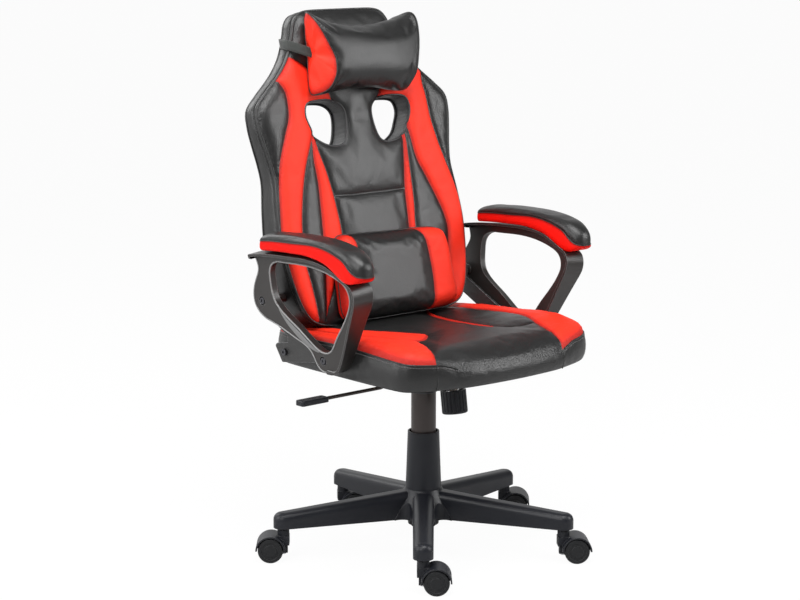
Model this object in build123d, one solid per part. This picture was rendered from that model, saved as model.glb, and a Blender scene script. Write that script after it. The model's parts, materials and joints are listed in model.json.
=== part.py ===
"""Gaming chair on a five-legged castor base, in millimetres.

The origin is on the floor under the gas lift. +Z is up and the chair faces -Y, so the sitter's
right side is at -X. The seat is drawn at the lowest setting of the lift, upright, with the lever
pushed in. Each function builds one sub-part and returns it; the loop at the end writes each one under
its node name.
"""
from build123d import *
from math import atan2, cos, degrees, radians, sin, tan
import os

# ---------------------------------------------------------------- castors
WHEEL_D = 50.0            # twin wheels, rolling diameter
WHEEL_WIDTH = 19.0        # one wheel
WHEEL_EDGE = 3.0          # rounding of the wheel's rim
WEB_WIDTH = 11.0          # centre plate of the hood, between the wheels
WHEEL_SIDE_GAP = 1.5      # between the plate and each wheel
AXLE_D = 8.0
AXLE_IN_WHEEL = 14.0      # how deep the axle reaches into each wheel
RUN_FIT = 0.05            # radial clearance of every running fit
WHEEL_COVER_GAP = 1.6     # between the wheel and the inside of its hood
HOOD_WALL = 3.0
WEB_ABOVE_FLOOR = 3.0
HOOD_OVERHANG = 1.0       # how far the hood reaches past the wheel's outer face
CASTOR_TRAIL = 25.0       # swivel axis to wheel axle
SWIVEL_BOSS_D = 24.0
SWIVEL_BOSS_TOP = 64.0    # height of the hood's boss above the floor
STEM_D = 11.0             # grip stem in the base
STEM_LENGTH = 24.0
STEM_COLLAR_D = 17.0
STEM_COLLAR = 3.0
STEM_PIN_D = 8.0          # lower end, on which the hood turns
STEM_PIN_END = 16.0       # height of its peened end
STEM_HEAD = 2.0
END_PLAY = 0.4            # axial clearance of the swivel

# ---------------------------------------------------------------- base
LEGS = 5
LEG_RADIUS = 292.0        # column axis to castor axis
LEG_FIRST_ANGLE = -132.0  # plan angle of the first leg
LEG_TIP_WIDTH = 39.0
LEG_ROOT_WIDTH = 43.0
LEG_TIP_HEIGHT = 31.0
LEG_ROOT_RISE = 28.0      # leg top at the hub above leg top at the tip
LEG_ROOT_DROP = 0.0       # leg bottom at the hub below leg bottom at the tip
LEG_WALL = 3.0
LEG_EDGE = 14.0           # rounding along the top of a leg
HUB_CORNER = 20.0         # hollow rounding between neighbouring legs
RIBS_PER_LEG = 5
HUB_D = 74.0
HUB_BOTTOM_D = 62.0
HUB_BELOW_LEG = 16.0

# ---------------------------------------------------------------- column
TUBE_D = 50.0             # stand tube
TUBE_WALL = 2.0
TUBE_TAPER = 1.0          # how much narrower the seated end is
TUBE_BELOW_HUB = 5.0
TUBE_LENGTH = 277.0
TUBE_FLOOR = 4.0
COVER_BOTTOM_D = 72.0
COVER_TOP_D = 63.5
COVER_HEIGHT = 117.0
COVER_WALL = 3.0
LIFT_D = 28.0             # gas cylinder
LIFT_WALL = 2.0
LIFT_ABOVE_TUBE = 36.0
LIFT_TRAVEL = 100.0
SOCKET_TAPER = 1.2        # cone of the cylinder's top in the mechanism
BUSH_LENGTH = 90.0
BUSH_CAP = 3.0
ROD_D = 10.0
PISTON_LENGTH = 12.0
BEARING_HEIGHT = 7.0
BEARING_D = 26.0
CLIP_D = 18.0
CLIP_THICK = 2.0
VALVE_D = 8.0
VALVE_STANDS_OUT = 6.0
VALVE_LENGTH = 30.0
MOVING_GAP = 0.4          # between pieces that pass each other

# ---------------------------------------------------------------- tilt mechanism
SOCKET_D = 40.0
SOCKET_BELOW_LIFT_TOP = 32.0
HOUSING_WIDTH = 76.0
HOUSING_STEEL = 2.5
HOUSING_REAR = 52.0       # reach behind the column
HOUSING_FRONT = 118.0     # reach in front of the column
HOUSING_DEPTH = 42.0      # below the seat plate, at the column
HOUSING_NOSE_DEPTH = 22.0
LIFT_TOP_TO_PLATE = 29.6  # cylinder top to the underside of the seat plate
PLATE_STEEL = 3.0
PLATE_HOLES_X = 150.0
PLATE_HOLES_Y = 200.0
PLATE_MARGIN = 18.0
PLATE_CENTRE_Y = -10.0
PIVOT_AHEAD = 30.0        # tilt pin in front of the column
PIVOT_BELOW_PLATE = 12.0
PIVOT_PIN_D = 10.0
FLANGE_LENGTH = 44.0
TILT_MAX = 12.0           # degrees
MOUNT_SCREW_D = 8.0
MOUNT_SCREW_GRIP = 10.0
MOUNT_HEAD_D = 14.0
MOUNT_HEAD = 5.0
KNOB_AHEAD = 80.0         # tension bolt in front of the column, at the seat plate
KNOB_LEAN = 8.0           # the bolt's foot leans forward, degrees
KNOB_D = 51.0
KNOB_HEIGHT = 46.0
KNOB_DROP = 94.0          # seat plate to the knob's underside, along the bolt
KNOB_FLUTES = 20
KNOB_FLUTE_D = 5.0
KNOB_WALL = 5.0
KNOB_FLOOR = 16.0
TENSION_BOLT_D = 10.0
TENSION_PITCH = 2.0
KNOB_TURNS = 2            # each way from the middle setting
KNOB_CAP = 3.0            # closed end of the knob's bore
BOLT_END_GAP = 1.0        # bolt's foot to that cap, with the knob at its highest
WASHER_THICK = 3.0
SPRING_D = 30.0
SPRING_WIRE = 4.0
SPRING_TURNS = 5
LEVER_ROD_D = 7.0
LEVER_INNER = 18.0        # rod's end past the valve
LEVER_STRAIGHT = 62.0     # column axis to the first bend
LEVER_SLOPE_END = 112.0   # column axis to the second bend
LEVER_DROP = 21.0         # height lost between the bends
LEVER_REACH = 319.0       # column axis to the paddle's end
PADDLE_LENGTH = 66.0
PADDLE_WIDTH = 24.0
PADDLE_THICK = 10.0
PADDLE_GRIP = 26.0        # rod inside the paddle
LEVER_BUSH_R = 8.0        # rocking barrel, its axis along Y
LEVER_BUSH_LENGTH = 13.0
LEVER_BUSH_WIDTH = 10.0   # along the rod
BUSH_WINDOW_GAP = 0.35    # between the barrel and its window in the housing

# ---------------------------------------------------------------- seat
SEAT_HALF_WIDTH = 244.0
SEAT_FRONT_CORNER = 205.0  # corner in front of the column
SEAT_FRONT_BULGE = 60.0    # the front edge bows out this much past the corners
SEAT_REAR = 200.0
SEAT_REAR_RADIUS = 62.0
SEAT_CORNER_RADIUS = 26.0
SEAT_THICK = 78.0
SEAT_TOP_EDGE = 22.0
BOLSTER_RISE = 7.0
BOLSTER_WIDTH = 62.0
BOARD_THICK = 12.0
BOARD_INSET = 16.0
RAIL_STEEL = 4.0
RAIL_HEIGHT = 46.0
RAIL_FLANGE = 24.0
RAIL_BOSS_D = 18.0
RAIL_PAST_BOSS = 24.0

# ---------------------------------------------------------------- back
BACK_LEAN = 14.5          # degrees
BACK_FRONT_Y = 104.0      # front face where it meets the seat's top
BACK_HEIGHT = 622.0       # along the back, from the seat's top
BACK_BOTTOM = 8.0         # how far it reaches below the seat's top
SHOULDER_HEIGHT = BACK_HEIGHT - 212.0
SHOULDER_HALF = 250.0
WAIST_HEIGHT = 292.0
WAIST_HALF = 232.0
HIP_HEIGHT = 170.0
HIP_HALF = 241.0
FOOT_HALF = 213.0
NECK_HEIGHT = BACK_HEIGHT - 90.0
NECK_HALF = 151.0
HEAD_HALF = 124.0
BACK_CROWN = 12.0         # front face ahead of the piping line
BACK_THICK_TOP = 34.0     # piping line to the rear face
BACK_THICK_SHOULDER = 36.0
BACK_THICK_LOW = 58.0
REAR_PANEL = 4.0
CROWN_STEP = 8.0          # the crown's edge steps in this much from the outline
EYE_LINER = 2.0
FRAME_TUBE = 20.0
FRAME_BAR = 16.0          # its cross bars
FRAME_BEND = 46.0
FRAME_HALF = 168.0
FRAME_TOP_HALF = 84.0
FRAME_LOW = 34.0
FRAME_TOP = BACK_HEIGHT - 62.0
FRAME_DEPTH_LOW = 44.0    # frame axis behind the piping line
FRAME_DEPTH_TOP = 12.0

# ---------------------------------------------------------------- cushions
HEAD_PILLOW_HEIGHT = 146.0
HEAD_PILLOW_HALF = 134.0
HEAD_PILLOW_THICK = 78.0
HEAD_PILLOW_MIDDLE = BACK_HEIGHT - 100.0
HEAD_PILLOW_EDGE = 24.0
STRAP_WIDTH = 19.0
STRAP_THICK = 1.5
STRAP_REAR_MIDDLE = BACK_HEIGHT - 58.0
STRAP_FRONT_DROP = 34.0
STRAP_SLACK = 3.5            # clear of the back's side
LUMBAR_HALF = 130.0
LUMBAR_HEIGHT = 168.0
LUMBAR_THICK = 54.0
LUMBAR_EDGE = 22.0
CUSHION_GAP = 0.4

# ---------------------------------------------------------------- arms and brackets
ARM_LEAN = 6.5            # the arms splay outward, degrees
ARM_WEB = 13.0
ARM_FLANGE = 5.0
ARM_FLANGE_WIDTH = 48.0
ARM_FOOT_WIDTH = 20.0
ARM_BOLT_Y = -14.0        # front bolt, in the knuckle
ARM_BOLT_RISE = 34.0      # above the seat's underside
BACK_BOLT_DY = 174.0      # rear bolt from the front one
BACK_BOLT_DZ = 94.0
FOOT_BOLT_DY = 134.0      # bracket's own bolt from the front one
FOOT_BOLT_DZ = -5.0
BRACKET_STEEL = 5.0
BRACKET_FROM_SEAT = 7.0
ARM_FROM_BRACKET = 1.5
ARM_PAD_THICK = 34.0
ARM_PAD_WIDTH = 55.0
ARM_PAD_EDGE = 9.0
BOLT_D = 8.0
BOLT_HEAD_D = 14.0
BOLT_HEAD = 4.0
BOLT_RECESS_D = 18.0

# ---------------------------------------------------------------- levels and places that follow
axle_z = WHEEL_D / 2
well_r = WHEEL_D / 2 + WHEEL_COVER_GAP
hood_r = well_r + HOOD_WALL
wheel_in = WEB_WIDTH / 2 + WHEEL_SIDE_GAP
wheel_out = wheel_in + WHEEL_WIDTH
leg_bottom = SWIVEL_BOSS_TOP + END_PLAY + STEM_COLLAR
leg_top = leg_bottom + LEG_TIP_HEIGHT
hub_top = leg_top + LEG_ROOT_RISE
hub_bottom = leg_bottom - LEG_ROOT_DROP - HUB_BELOW_LEG
tube_bottom = hub_bottom - TUBE_BELOW_HUB
tube_top = tube_bottom + TUBE_LENGTH
tube_in_d = TUBE_D - 2 * TUBE_WALL
seat_taper_top = hub_top
lift_bottom = tube_bottom + TUBE_FLOOR + BEARING_HEIGHT + 2 * MOVING_GAP
lift_top = tube_top + LIFT_ABOVE_TUBE
plate_low = lift_top + LIFT_TOP_TO_PLATE
seat_low = plate_low + PLATE_STEEL
seat_top = seat_low + SEAT_THICK
socket_low = lift_top - SOCKET_BELOW_LIFT_TOP
pivot_y = -PIVOT_AHEAD
pivot_z = plate_low - PIVOT_BELOW_PLATE
lever_z = lift_top + VALVE_STANDS_OUT + MOVING_GAP / 2 + LEVER_ROD_D / 2
wall_x = HOUSING_WIDTH / 2 - HOUSING_STEEL / 2
board_half = SEAT_HALF_WIDTH - BOARD_INSET
bracket_in = SEAT_HALF_WIDTH + BRACKET_FROM_SEAT
bracket_out = bracket_in + BRACKET_STEEL
arm_in = bracket_out + ARM_FROM_BRACKET
front_bolt = (ARM_BOLT_Y, seat_low + ARM_BOLT_RISE)
back_bolt = (front_bolt[0] + BACK_BOLT_DY, front_bolt[1] + BACK_BOLT_DZ)
foot_bolt = (front_bolt[0] + FOOT_BOLT_DY, front_bolt[1] + FOOT_BOLT_DZ)
crown_n = BACK_CROWN + CUSHION_GAP

lean = radians(BACK_LEAN)
BACK = Plane(origin=(0, BACK_FRONT_Y, seat_top), x_dir=(1, 0, 0), z_dir=(0, -cos(lean), sin(lean)))
knob_axis = Vector(0, sin(radians(KNOB_LEAN)), cos(radians(KNOB_LEAN)))
KNOB = Plane(origin=(0, -KNOB_AHEAD, plate_low), x_dir=(1, 0, 0), z_dir=knob_axis)


# ---------------------------------------------------------------- helpers
def rod(diameter, start, end):
    """Round bar between two points."""
    run = Vector(*end) - Vector(*start)
    bar = Cylinder(diameter / 2, run.length, align=(Align.CENTER, Align.CENTER, Align.MIN))
    return Plane(origin=start, z_dir=run) * bar


def up(diameter, low, high, x=0, y=0):
    """Upright round bar."""
    return rod(diameter, (x, y, low), (x, y, high))


def across(diameter, x_from, x_to, y, z):
    """Round bar along X."""
    return rod(diameter, (x_from, y, z), (x_to, y, z))


def cone(bottom_d, top_d, low, high):
    shape = Cone(bottom_d / 2, top_d / 2, high - low, align=(Align.CENTER, Align.CENTER, Align.MIN))
    return Pos(0, 0, low) * shape


def block(x0, x1, y0, y1, z0, z1):
    box = Box(x1 - x0, y1 - y0, z1 - z0, align=(Align.MIN, Align.MIN, Align.MIN))
    return Pos(x0, y0, z0) * box


def side_profile(points, half_width):
    """Plate with the outline (y, z), centred on x = 0."""
    outline = make_face(Polyline(*points, close=True).edges())
    return extrude(Plane.YZ * outline, half_width, both=True)


def grown(points, amount):
    """Closed outline moved outward by amount, point by point along its local normal."""
    moved = []
    turning = sum(a[0] * b[1] - b[0] * a[1] for a, b in zip(points, points[1:] + points[:1]))
    outward = amount if turning > 0 else -amount
    for before, point, after in zip(points[-1:] + points[:-1], points, points[1:] + points[:1]):
        along = Vector(after[0] - before[0], after[1] - before[1]).normalized()
        moved.append((point[0] + outward * along.Y, point[1] - outward * along.X))
    return moved


def mirrored(shape):
    return mirror(shape, Plane.YZ)


def both_sides(make):
    """The left piece is the mirror image of the right one, which lies at -X."""
    right = make()
    return {"right": right, "left": mirrored(right)}


# ---------------------------------------------------------------- castors, built at the first leg's end
def castor_frame(number):
    """Place of a castor: its swivel axis, with the wheels trailing along local +X."""
    angle = radians(LEG_FIRST_ANGLE + number * 360 / LEGS)
    spot = Pos(LEG_RADIUS * cos(angle), LEG_RADIUS * sin(angle), 0)
    return spot * Rot(0, 0, CASTOR_HEADINGS[number])


# directions in which the five castors happen to trail
CASTOR_HEADINGS = [-41.0, -38.0, -44.0, -36.0, 139.0]


def castor_hood():
    wide = wheel_out + HOOD_OVERHANG
    axle_line = Plane(origin=(CASTOR_TRAIL, 0, axle_z), x_dir=(1, 0, 0), z_dir=(0, 1, 0))
    shell = axle_line * extrude(Circle(hood_r), wide, both=True)
    well = axle_line * extrude(Circle(well_r), wide + 1, both=True)
    keep_above = Pos(CASTOR_TRAIL, 0, axle_z + hood_r) * Box(2 * hood_r, 2 * wide, 2 * hood_r)
    web = axle_line * extrude(Circle(WHEEL_D / 2 - WEB_ABOVE_FLOOR), WEB_WIDTH / 2, both=True)
    web += (axle_line * extrude(Circle(well_r + HOOD_WALL / 2), WEB_WIDTH / 2, both=True)) & keep_above
    half_web = WEB_WIDTH / 2
    half_boss = SWIVEL_BOSS_D / 2
    hood_top = axle_z + well_r
    neck = block(-half_web - 3, CASTOR_TRAIL, -half_web, half_web, STEM_PIN_END, hood_top)
    boss = up(SWIVEL_BOSS_D, axle_z + 8, SWIVEL_BOSS_TOP)
    cap = block(-half_boss, CASTOR_TRAIL, -half_boss, half_boss, axle_z + 8, hood_top)
    hood = ((shell & keep_above) + boss + cap) - well
    hood = hood + web + neck
    hood -= up(STEM_PIN_D + 2 * RUN_FIT, 0, SWIVEL_BOSS_TOP + 1)
    hood -= up(WEB_WIDTH + 2, 0, STEM_PIN_END)
    hood -= rod(AXLE_D, (CASTOR_TRAIL, -WEB_WIDTH, axle_z), (CASTOR_TRAIL, WEB_WIDTH, axle_z))
    return hood


def castor_stem():
    stem = up(STEM_D, leg_bottom, leg_bottom + STEM_LENGTH)
    stem += up(STEM_COLLAR_D, leg_bottom - STEM_COLLAR, leg_bottom)
    stem += up(STEM_PIN_D, STEM_PIN_END - STEM_HEAD, leg_bottom)
    stem += up(WEB_WIDTH - 0.4, STEM_PIN_END - STEM_HEAD - END_PLAY, STEM_PIN_END - END_PLAY)
    return stem


def castor_axle():
    half = wheel_in + AXLE_IN_WHEEL
    return rod(AXLE_D, (CASTOR_TRAIL, -half, axle_z), (CASTOR_TRAIL, half, axle_z))


def castor_wheel(side):
    """side is +1 or -1 along the axle."""
    wheel = Cylinder(WHEEL_D / 2, WHEEL_WIDTH, align=(Align.CENTER, Align.CENTER, Align.MIN))
    wheel = fillet(wheel.edges().filter_by(GeomType.CIRCLE), WHEEL_EDGE)
    wheel -= Cylinder(AXLE_D / 2 + RUN_FIT, 2 * (AXLE_IN_WHEEL + RUN_FIT))
    hub_ring = Cylinder(WHEEL_D / 2 - 7, 2) - Cylinder(WHEEL_D / 2 - 13, 2)
    wheel -= Pos(0, 0, WHEEL_WIDTH) * hub_ring
    turn = Rot(-90 * side, 0, 0)
    return Pos(CASTOR_TRAIL, side * wheel_in, axle_z) * turn * wheel


# ---------------------------------------------------------------- base
def leg_plan(inset):
    """Plan outline of one leg along +X, from the column axis to the rounded tip."""
    root = LEG_ROOT_WIDTH / 2 - inset
    tip = LEG_TIP_WIDTH / 2 - inset
    end = LEG_RADIUS + tip
    sides = Polyline((LEG_RADIUS, -tip), (0, -root), (0, root), (LEG_RADIUS, tip))
    nose = ThreePointArc((LEG_RADIUS, tip), (end, 0), (LEG_RADIUS, -tip))
    return make_face(Curve() + [sides, nose])


def leg_solid(inset, lower_top):
    """Leg between its sloping top and bottom, shrunk by the wall when it is the hollow."""
    reach = LEG_RADIUS + LEG_TIP_WIDTH
    bottom = leg_bottom - lower_top * 100
    root_bottom = leg_bottom - LEG_ROOT_DROP - lower_top * 100
    drop = LEG_WALL * lower_top
    side = [(0, root_bottom), (LEG_RADIUS - LEG_TIP_WIDTH / 2, bottom), (reach, bottom),
            (reach, leg_top - drop), (LEG_RADIUS, leg_top - drop), (0, hub_top - drop)]
    tall = Pos(0, 0, -100) * extrude(leg_plan(inset), hub_top + 200)
    return tall & (Rot(0, 0, -90) * side_profile(side, LEG_ROOT_WIDTH))


def rounded_top(solid, level, radius):
    """Rounds the edges of a leg that lie above a level, all but the one on the column axis."""
    return fillet(solid.edges().filter_by(lambda e: e.center().Z > level and e.center().X > 1), radius)


def hub_web(inset):
    """Hollow corners that join neighbouring legs at the hub, shrunk by the wall when it is the cavity."""
    half_turn = radians(180 / LEGS)
    out = (LEG_ROOT_WIDTH / 2 + HUB_CORNER) / sin(half_turn)
    reach = (LEG_ROOT_WIDTH / 2 + HUB_CORNER) / tan(half_turn)
    web = cone(2.5 * reach - 2 * inset, HUB_D, leg_bottom - inset, hub_top - 2 * inset)
    for number in range(LEGS):
        angle = radians(LEG_FIRST_ANGLE + (number + 0.5) * 360 / LEGS)
        spot = (out * cos(angle), out * sin(angle))
        web -= up(2 * (HUB_CORNER + inset), 0, hub_top, *spot)
    return web


def star_leg():
    leg = rounded_top(leg_solid(0, 0), leg_top - 1, LEG_EDGE)
    hollow = rounded_top(leg_solid(LEG_WALL, 1), leg_top - LEG_WALL - 1, LEG_EDGE - LEG_WALL)
    first = HUB_D / 2 + 8
    step = (LEG_RADIUS - LEG_TIP_WIDTH / 2 - first) / RIBS_PER_LEG
    for number in range(RIBS_PER_LEG):
        x = first + (number + 0.5) * step
        hollow -= block(x, x + LEG_WALL, -LEG_ROOT_WIDTH, LEG_ROOT_WIDTH, 0, hub_top)
    hollow -= block(0, LEG_RADIUS, -LEG_WALL / 2, LEG_WALL / 2, 0, hub_top)
    hollow -= up(STEM_D + 4 * LEG_WALL, 0, hub_top, x=LEG_RADIUS)
    return leg - hollow


def star_base():
    leg = star_leg()
    base = cone(HUB_BOTTOM_D, HUB_D, hub_bottom, hub_top) + (hub_web(0) - hub_web(LEG_WALL))
    for number in range(LEGS):
        base += Rot(0, 0, LEG_FIRST_ANGLE + number * 360 / LEGS) * leg
    for number in range(LEGS):
        turn = Rot(0, 0, LEG_FIRST_ANGLE + number * 360 / LEGS)
        base -= turn * up(STEM_D, leg_bottom - 1, leg_bottom + STEM_LENGTH, x=LEG_RADIUS)
    base -= cone(TUBE_D - TUBE_TAPER, TUBE_D, hub_bottom, hub_top)
    return base


# ---------------------------------------------------------------- column
def stand_tube():
    tube = cone(TUBE_D - TUBE_TAPER, TUBE_D, hub_bottom, hub_top)
    tube += up(TUBE_D - TUBE_TAPER, tube_bottom, hub_bottom)
    tube += up(TUBE_D, hub_top, tube_top)
    tube -= up(tube_in_d - TUBE_TAPER, tube_bottom + TUBE_FLOOR, hub_top)
    tube -= up(tube_in_d, hub_top, tube_top)
    tube -= up(ROD_D + 2 * RUN_FIT, tube_bottom - 1, tube_bottom + TUBE_FLOOR + 1)
    return tube


def column_cover():
    high = hub_top + COVER_HEIGHT
    cover = cone(COVER_BOTTOM_D, COVER_TOP_D, hub_top, high)
    inside = cone(COVER_BOTTOM_D - 2 * COVER_WALL, COVER_TOP_D - 2 * COVER_WALL, hub_top, high)
    foot_ring = up(COVER_BOTTOM_D - COVER_WALL, hub_top, hub_top + COVER_WALL) - up(TUBE_D, hub_top, high)
    return (cover - inside) + foot_ring


def guide_bush():
    bush = up(tube_in_d, tube_top - BUSH_LENGTH, tube_top)
    bush += up(TUBE_D, tube_top, tube_top + BUSH_CAP)
    return bush - up(LIFT_D + 2 * RUN_FIT, tube_top - BUSH_LENGTH - 1, tube_top + BUSH_CAP + 1)


def piston_top():
    return lift_top - VALVE_LENGTH - PISTON_LENGTH


def piston_rod():
    bar = up(ROD_D, tube_bottom - CLIP_THICK - 3, piston_top())
    piston_d = LIFT_D - 2 * LIFT_WALL - 2 * RUN_FIT
    return bar + up(piston_d, piston_top() - PISTON_LENGTH, piston_top())


def thrust_bearing():
    low = tube_bottom + TUBE_FLOOR + MOVING_GAP
    return up(BEARING_D, low, low + BEARING_HEIGHT) - up(ROD_D, low, low + BEARING_HEIGHT)


def rod_clip():
    high = tube_bottom - MOVING_GAP
    return up(CLIP_D, high - CLIP_THICK, high) - up(ROD_D, high - CLIP_THICK, high)


def gas_cylinder():
    shape = up(LIFT_D, lift_bottom, socket_low) + cone(LIFT_D, LIFT_D - SOCKET_TAPER, socket_low, lift_top)
    chamber_low = lift_bottom + 10
    shape -= up(LIFT_D - 2 * LIFT_WALL, chamber_low, lift_top - VALVE_LENGTH)
    shape -= up(ROD_D + 2 * RUN_FIT, lift_bottom, chamber_low)
    shape -= up(VALVE_D + 2 * RUN_FIT, lift_top - VALVE_LENGTH, lift_top)
    return shape


def valve_pin():
    return up(VALVE_D, lift_top - VALVE_LENGTH + 8, lift_top + VALVE_STANDS_OUT)


# ---------------------------------------------------------------- tilt mechanism
def housing_side(grow):
    """Side view of the housing, with its floor raised by the steel for the inside."""
    low = plate_low - HOUSING_DEPTH + grow
    nose = plate_low - HOUSING_NOSE_DEPTH + grow
    rim = plate_low - MOVING_GAP
    reach = HOUSING_REAR + PIVOT_AHEAD
    rear_rim = plate_low - reach * tan(radians(TILT_MAX)) - 3
    ahead = pivot_y - 4
    return [(HOUSING_REAR, low), (HOUSING_REAR, rear_rim), (pivot_y, rim - 2), (-HOUSING_FRONT, rim),
            (-HOUSING_FRONT, nose), (ahead - 18, nose), (ahead, low)]


def tilt_housing():
    shell = side_profile(housing_side(0), HOUSING_WIDTH / 2)
    inside = side_profile(housing_side(HOUSING_STEEL), HOUSING_WIDTH / 2 - HOUSING_STEEL)
    over = block(-HOUSING_WIDTH / 2 + HOUSING_STEEL, HOUSING_WIDTH / 2 - HOUSING_STEEL,
                 -HOUSING_FRONT + HOUSING_STEEL, HOUSING_REAR - HOUSING_STEEL, pivot_z + 2, seat_low)
    housing = shell - inside - over
    rear_wall = block(-HOUSING_WIDTH / 2, HOUSING_WIDTH / 2, HOUSING_REAR - HOUSING_STEEL, HOUSING_REAR,
                      plate_low - HOUSING_DEPTH, plate_low - HOUSING_DEPTH + 18)
    housing += rear_wall
    housing += up(SOCKET_D, socket_low, lift_top - 4)
    housing -= cone(LIFT_D, LIFT_D - SOCKET_TAPER, socket_low, lift_top)
    housing -= across(PIVOT_PIN_D + 2 * RUN_FIT, -HOUSING_WIDTH, HOUSING_WIDTH, pivot_y, pivot_z)
    half_y = LEVER_BUSH_LENGTH / 2 + BUSH_WINDOW_GAP
    half_z = LEVER_BUSH_R + BUSH_WINDOW_GAP
    housing -= block(-HOUSING_WIDTH, -HOUSING_WIDTH / 4, -half_y, half_y, lever_z - half_z, lever_z + half_z)
    bolt_slot = SlotOverall(TENSION_BOLT_D * 2.6, TENSION_BOLT_D + 3, rotation=90)
    housing -= KNOB * Pos(0, 0, -HOUSING_DEPTH) * extrude(bolt_slot, HOUSING_DEPTH)
    return housing


def seat_plate():
    half_x = PLATE_HOLES_X / 2 + PLATE_MARGIN
    half_y = PLATE_HOLES_Y / 2 + PLATE_MARGIN
    outline = Pos(0, PLATE_CENTRE_Y) * RectangleRounded(2 * half_x, 2 * half_y, PLATE_MARGIN)
    plate = Pos(0, 0, plate_low) * extrude(outline, PLATE_STEEL)
    flange_in = HOUSING_WIDTH / 2 + MOVING_GAP
    for side in (-1, 1):
        middle = side * (flange_in + PLATE_STEEL / 2)
        flange = Box(PLATE_STEEL, FLANGE_LENGTH, PIVOT_BELOW_PLATE + PIVOT_PIN_D)
        plate += Pos(middle, pivot_y, plate_low - (PIVOT_BELOW_PLATE + PIVOT_PIN_D) / 2) * flange
    plate -= across(PIVOT_PIN_D, -half_x, half_x, pivot_y, pivot_z)
    for x, y in mount_spots():
        plate -= up(MOUNT_SCREW_D, plate_low - 1, seat_low + 1, x, y)
    return plate


def mount_spots():
    """The four screws that hold the seat board to the plate."""
    half_x = PLATE_HOLES_X / 2
    half_y = PLATE_HOLES_Y / 2
    return [(sx * half_x, PLATE_CENTRE_Y + sy * half_y) for sx in (-1, 1) for sy in (-1, 1)]


def mount_screws():
    screws = []
    for x, y in mount_spots():
        shank = up(MOUNT_SCREW_D, plate_low, seat_low + MOUNT_SCREW_GRIP, x, y)
        screws.append(shank + up(MOUNT_HEAD_D, plate_low - MOUNT_HEAD, plate_low, x, y))
    return Compound(children=screws)


def tilt_pin():
    half = HOUSING_WIDTH / 2 + MOVING_GAP + PLATE_STEEL + 3
    return across(PIVOT_PIN_D, -half, half, pivot_y, pivot_z)


def tension_bolt():
    """Stud welded under the seat plate; it rises with the plate's front when the seat rocks back."""
    foot = KNOB_CAP + KNOB_TURNS * TENSION_PITCH + BOLT_END_GAP
    bar = KNOB * Pos(0, 0, foot - KNOB_DROP) * Cylinder(
        TENSION_BOLT_D / 2, KNOB_DROP + 10, align=(Align.CENTER, Align.CENTER, Align.MIN))
    return bar - block(-50, 50, -200, 0, plate_low, plate_low + 60)


def knob_floor_top():
    return -KNOB_DROP + KNOB_FLOOR


def tension_knob():
    cup = Cylinder(KNOB_D / 2, KNOB_HEIGHT, align=(Align.CENTER, Align.CENTER, Align.MIN))
    cup = fillet(cup.edges().filter_by(GeomType.CIRCLE).sort_by(Axis.Z)[0], 3)
    for number in range(KNOB_FLUTES):
        flute = Cylinder(KNOB_FLUTE_D / 2, KNOB_HEIGHT, align=(Align.CENTER, Align.CENTER, Align.MIN))
        cup -= Rot(0, 0, number * 360 / KNOB_FLUTES) * Pos(KNOB_D / 2 + 1, 0, 4) * flute
    cup -= Pos(0, 0, KNOB_FLOOR) * Cylinder(KNOB_D / 2 - KNOB_WALL, KNOB_HEIGHT,
                                            align=(Align.CENTER, Align.CENTER, Align.MIN))
    cup -= Pos(0, 0, KNOB_CAP) * Cylinder(TENSION_BOLT_D / 2 + RUN_FIT, KNOB_HEIGHT,
                                          align=(Align.CENTER, Align.CENTER, Align.MIN))
    return KNOB * Pos(0, 0, -KNOB_DROP) * cup


def tension_washer():
    outer = KNOB_D / 2 - KNOB_WALL - 1
    ring = Cylinder(outer, WASHER_THICK) - Cylinder(TENSION_BOLT_D / 2 + RUN_FIT, WASHER_THICK)
    return KNOB * Pos(0, 0, knob_floor_top() + MOVING_GAP + WASHER_THICK / 2) * ring


def tension_spring():
    low = knob_floor_top() + 2 * MOVING_GAP + WASHER_THICK + SPRING_WIRE / 2
    high = -HOUSING_NOSE_DEPTH - MOVING_GAP - SPRING_WIRE
    height = high - low
    radius = (SPRING_D - SPRING_WIRE) / 2
    line = Helix(pitch=height / SPRING_TURNS, height=height, radius=radius)
    start = Plane(origin=line @ 0, z_dir=line % 0)
    coil = sweep(start * Circle(SPRING_WIRE / 2), path=line)
    return KNOB * Pos(0, 0, low) * coil


def lever_bush():
    """Plastic barrel that rocks in a window of the housing's side and guides the rod."""
    barrel = Rot(90, 0, 0) * Cylinder(LEVER_BUSH_R, LEVER_BUSH_LENGTH)
    barrel &= Box(LEVER_BUSH_WIDTH, LEVER_BUSH_LENGTH, 2 * LEVER_BUSH_R)
    barrel -= Rot(0, 90, 0) * Cylinder(LEVER_ROD_D / 2 + RUN_FIT, 2 * LEVER_BUSH_WIDTH)
    return Pos(-wall_x, 0, lever_z) * barrel


def paddle_root():
    """Outer end of the rod's level run, where the paddle starts."""
    return (-(LEVER_REACH - PADDLE_LENGTH), 0, lever_z - LEVER_DROP)


def lever_rod():
    low = lever_z - LEVER_DROP
    points = [(LEVER_INNER, 0, lever_z), (-LEVER_STRAIGHT, 0, lever_z), (-LEVER_SLOPE_END, 0, low),
              (paddle_root()[0] - PADDLE_GRIP, 0, low)]
    path = FilletPolyline(*points, radius=12)
    start = Plane(origin=points[0], z_dir=(-1, 0, 0))
    return sweep(start * Circle(LEVER_ROD_D / 2), path=path)


def lever_paddle():
    x, y, z = paddle_root()
    slab = Box(PADDLE_LENGTH, PADDLE_WIDTH, PADDLE_THICK, align=(Align.MAX, Align.CENTER, Align.CENTER))
    slab = fillet(slab.edges().filter_by(Axis.Z), 5)
    slab = fillet(slab.edges(), 1.5)
    paddle = Pos(x, y, z) * slab
    return paddle - lever_rod()


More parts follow.
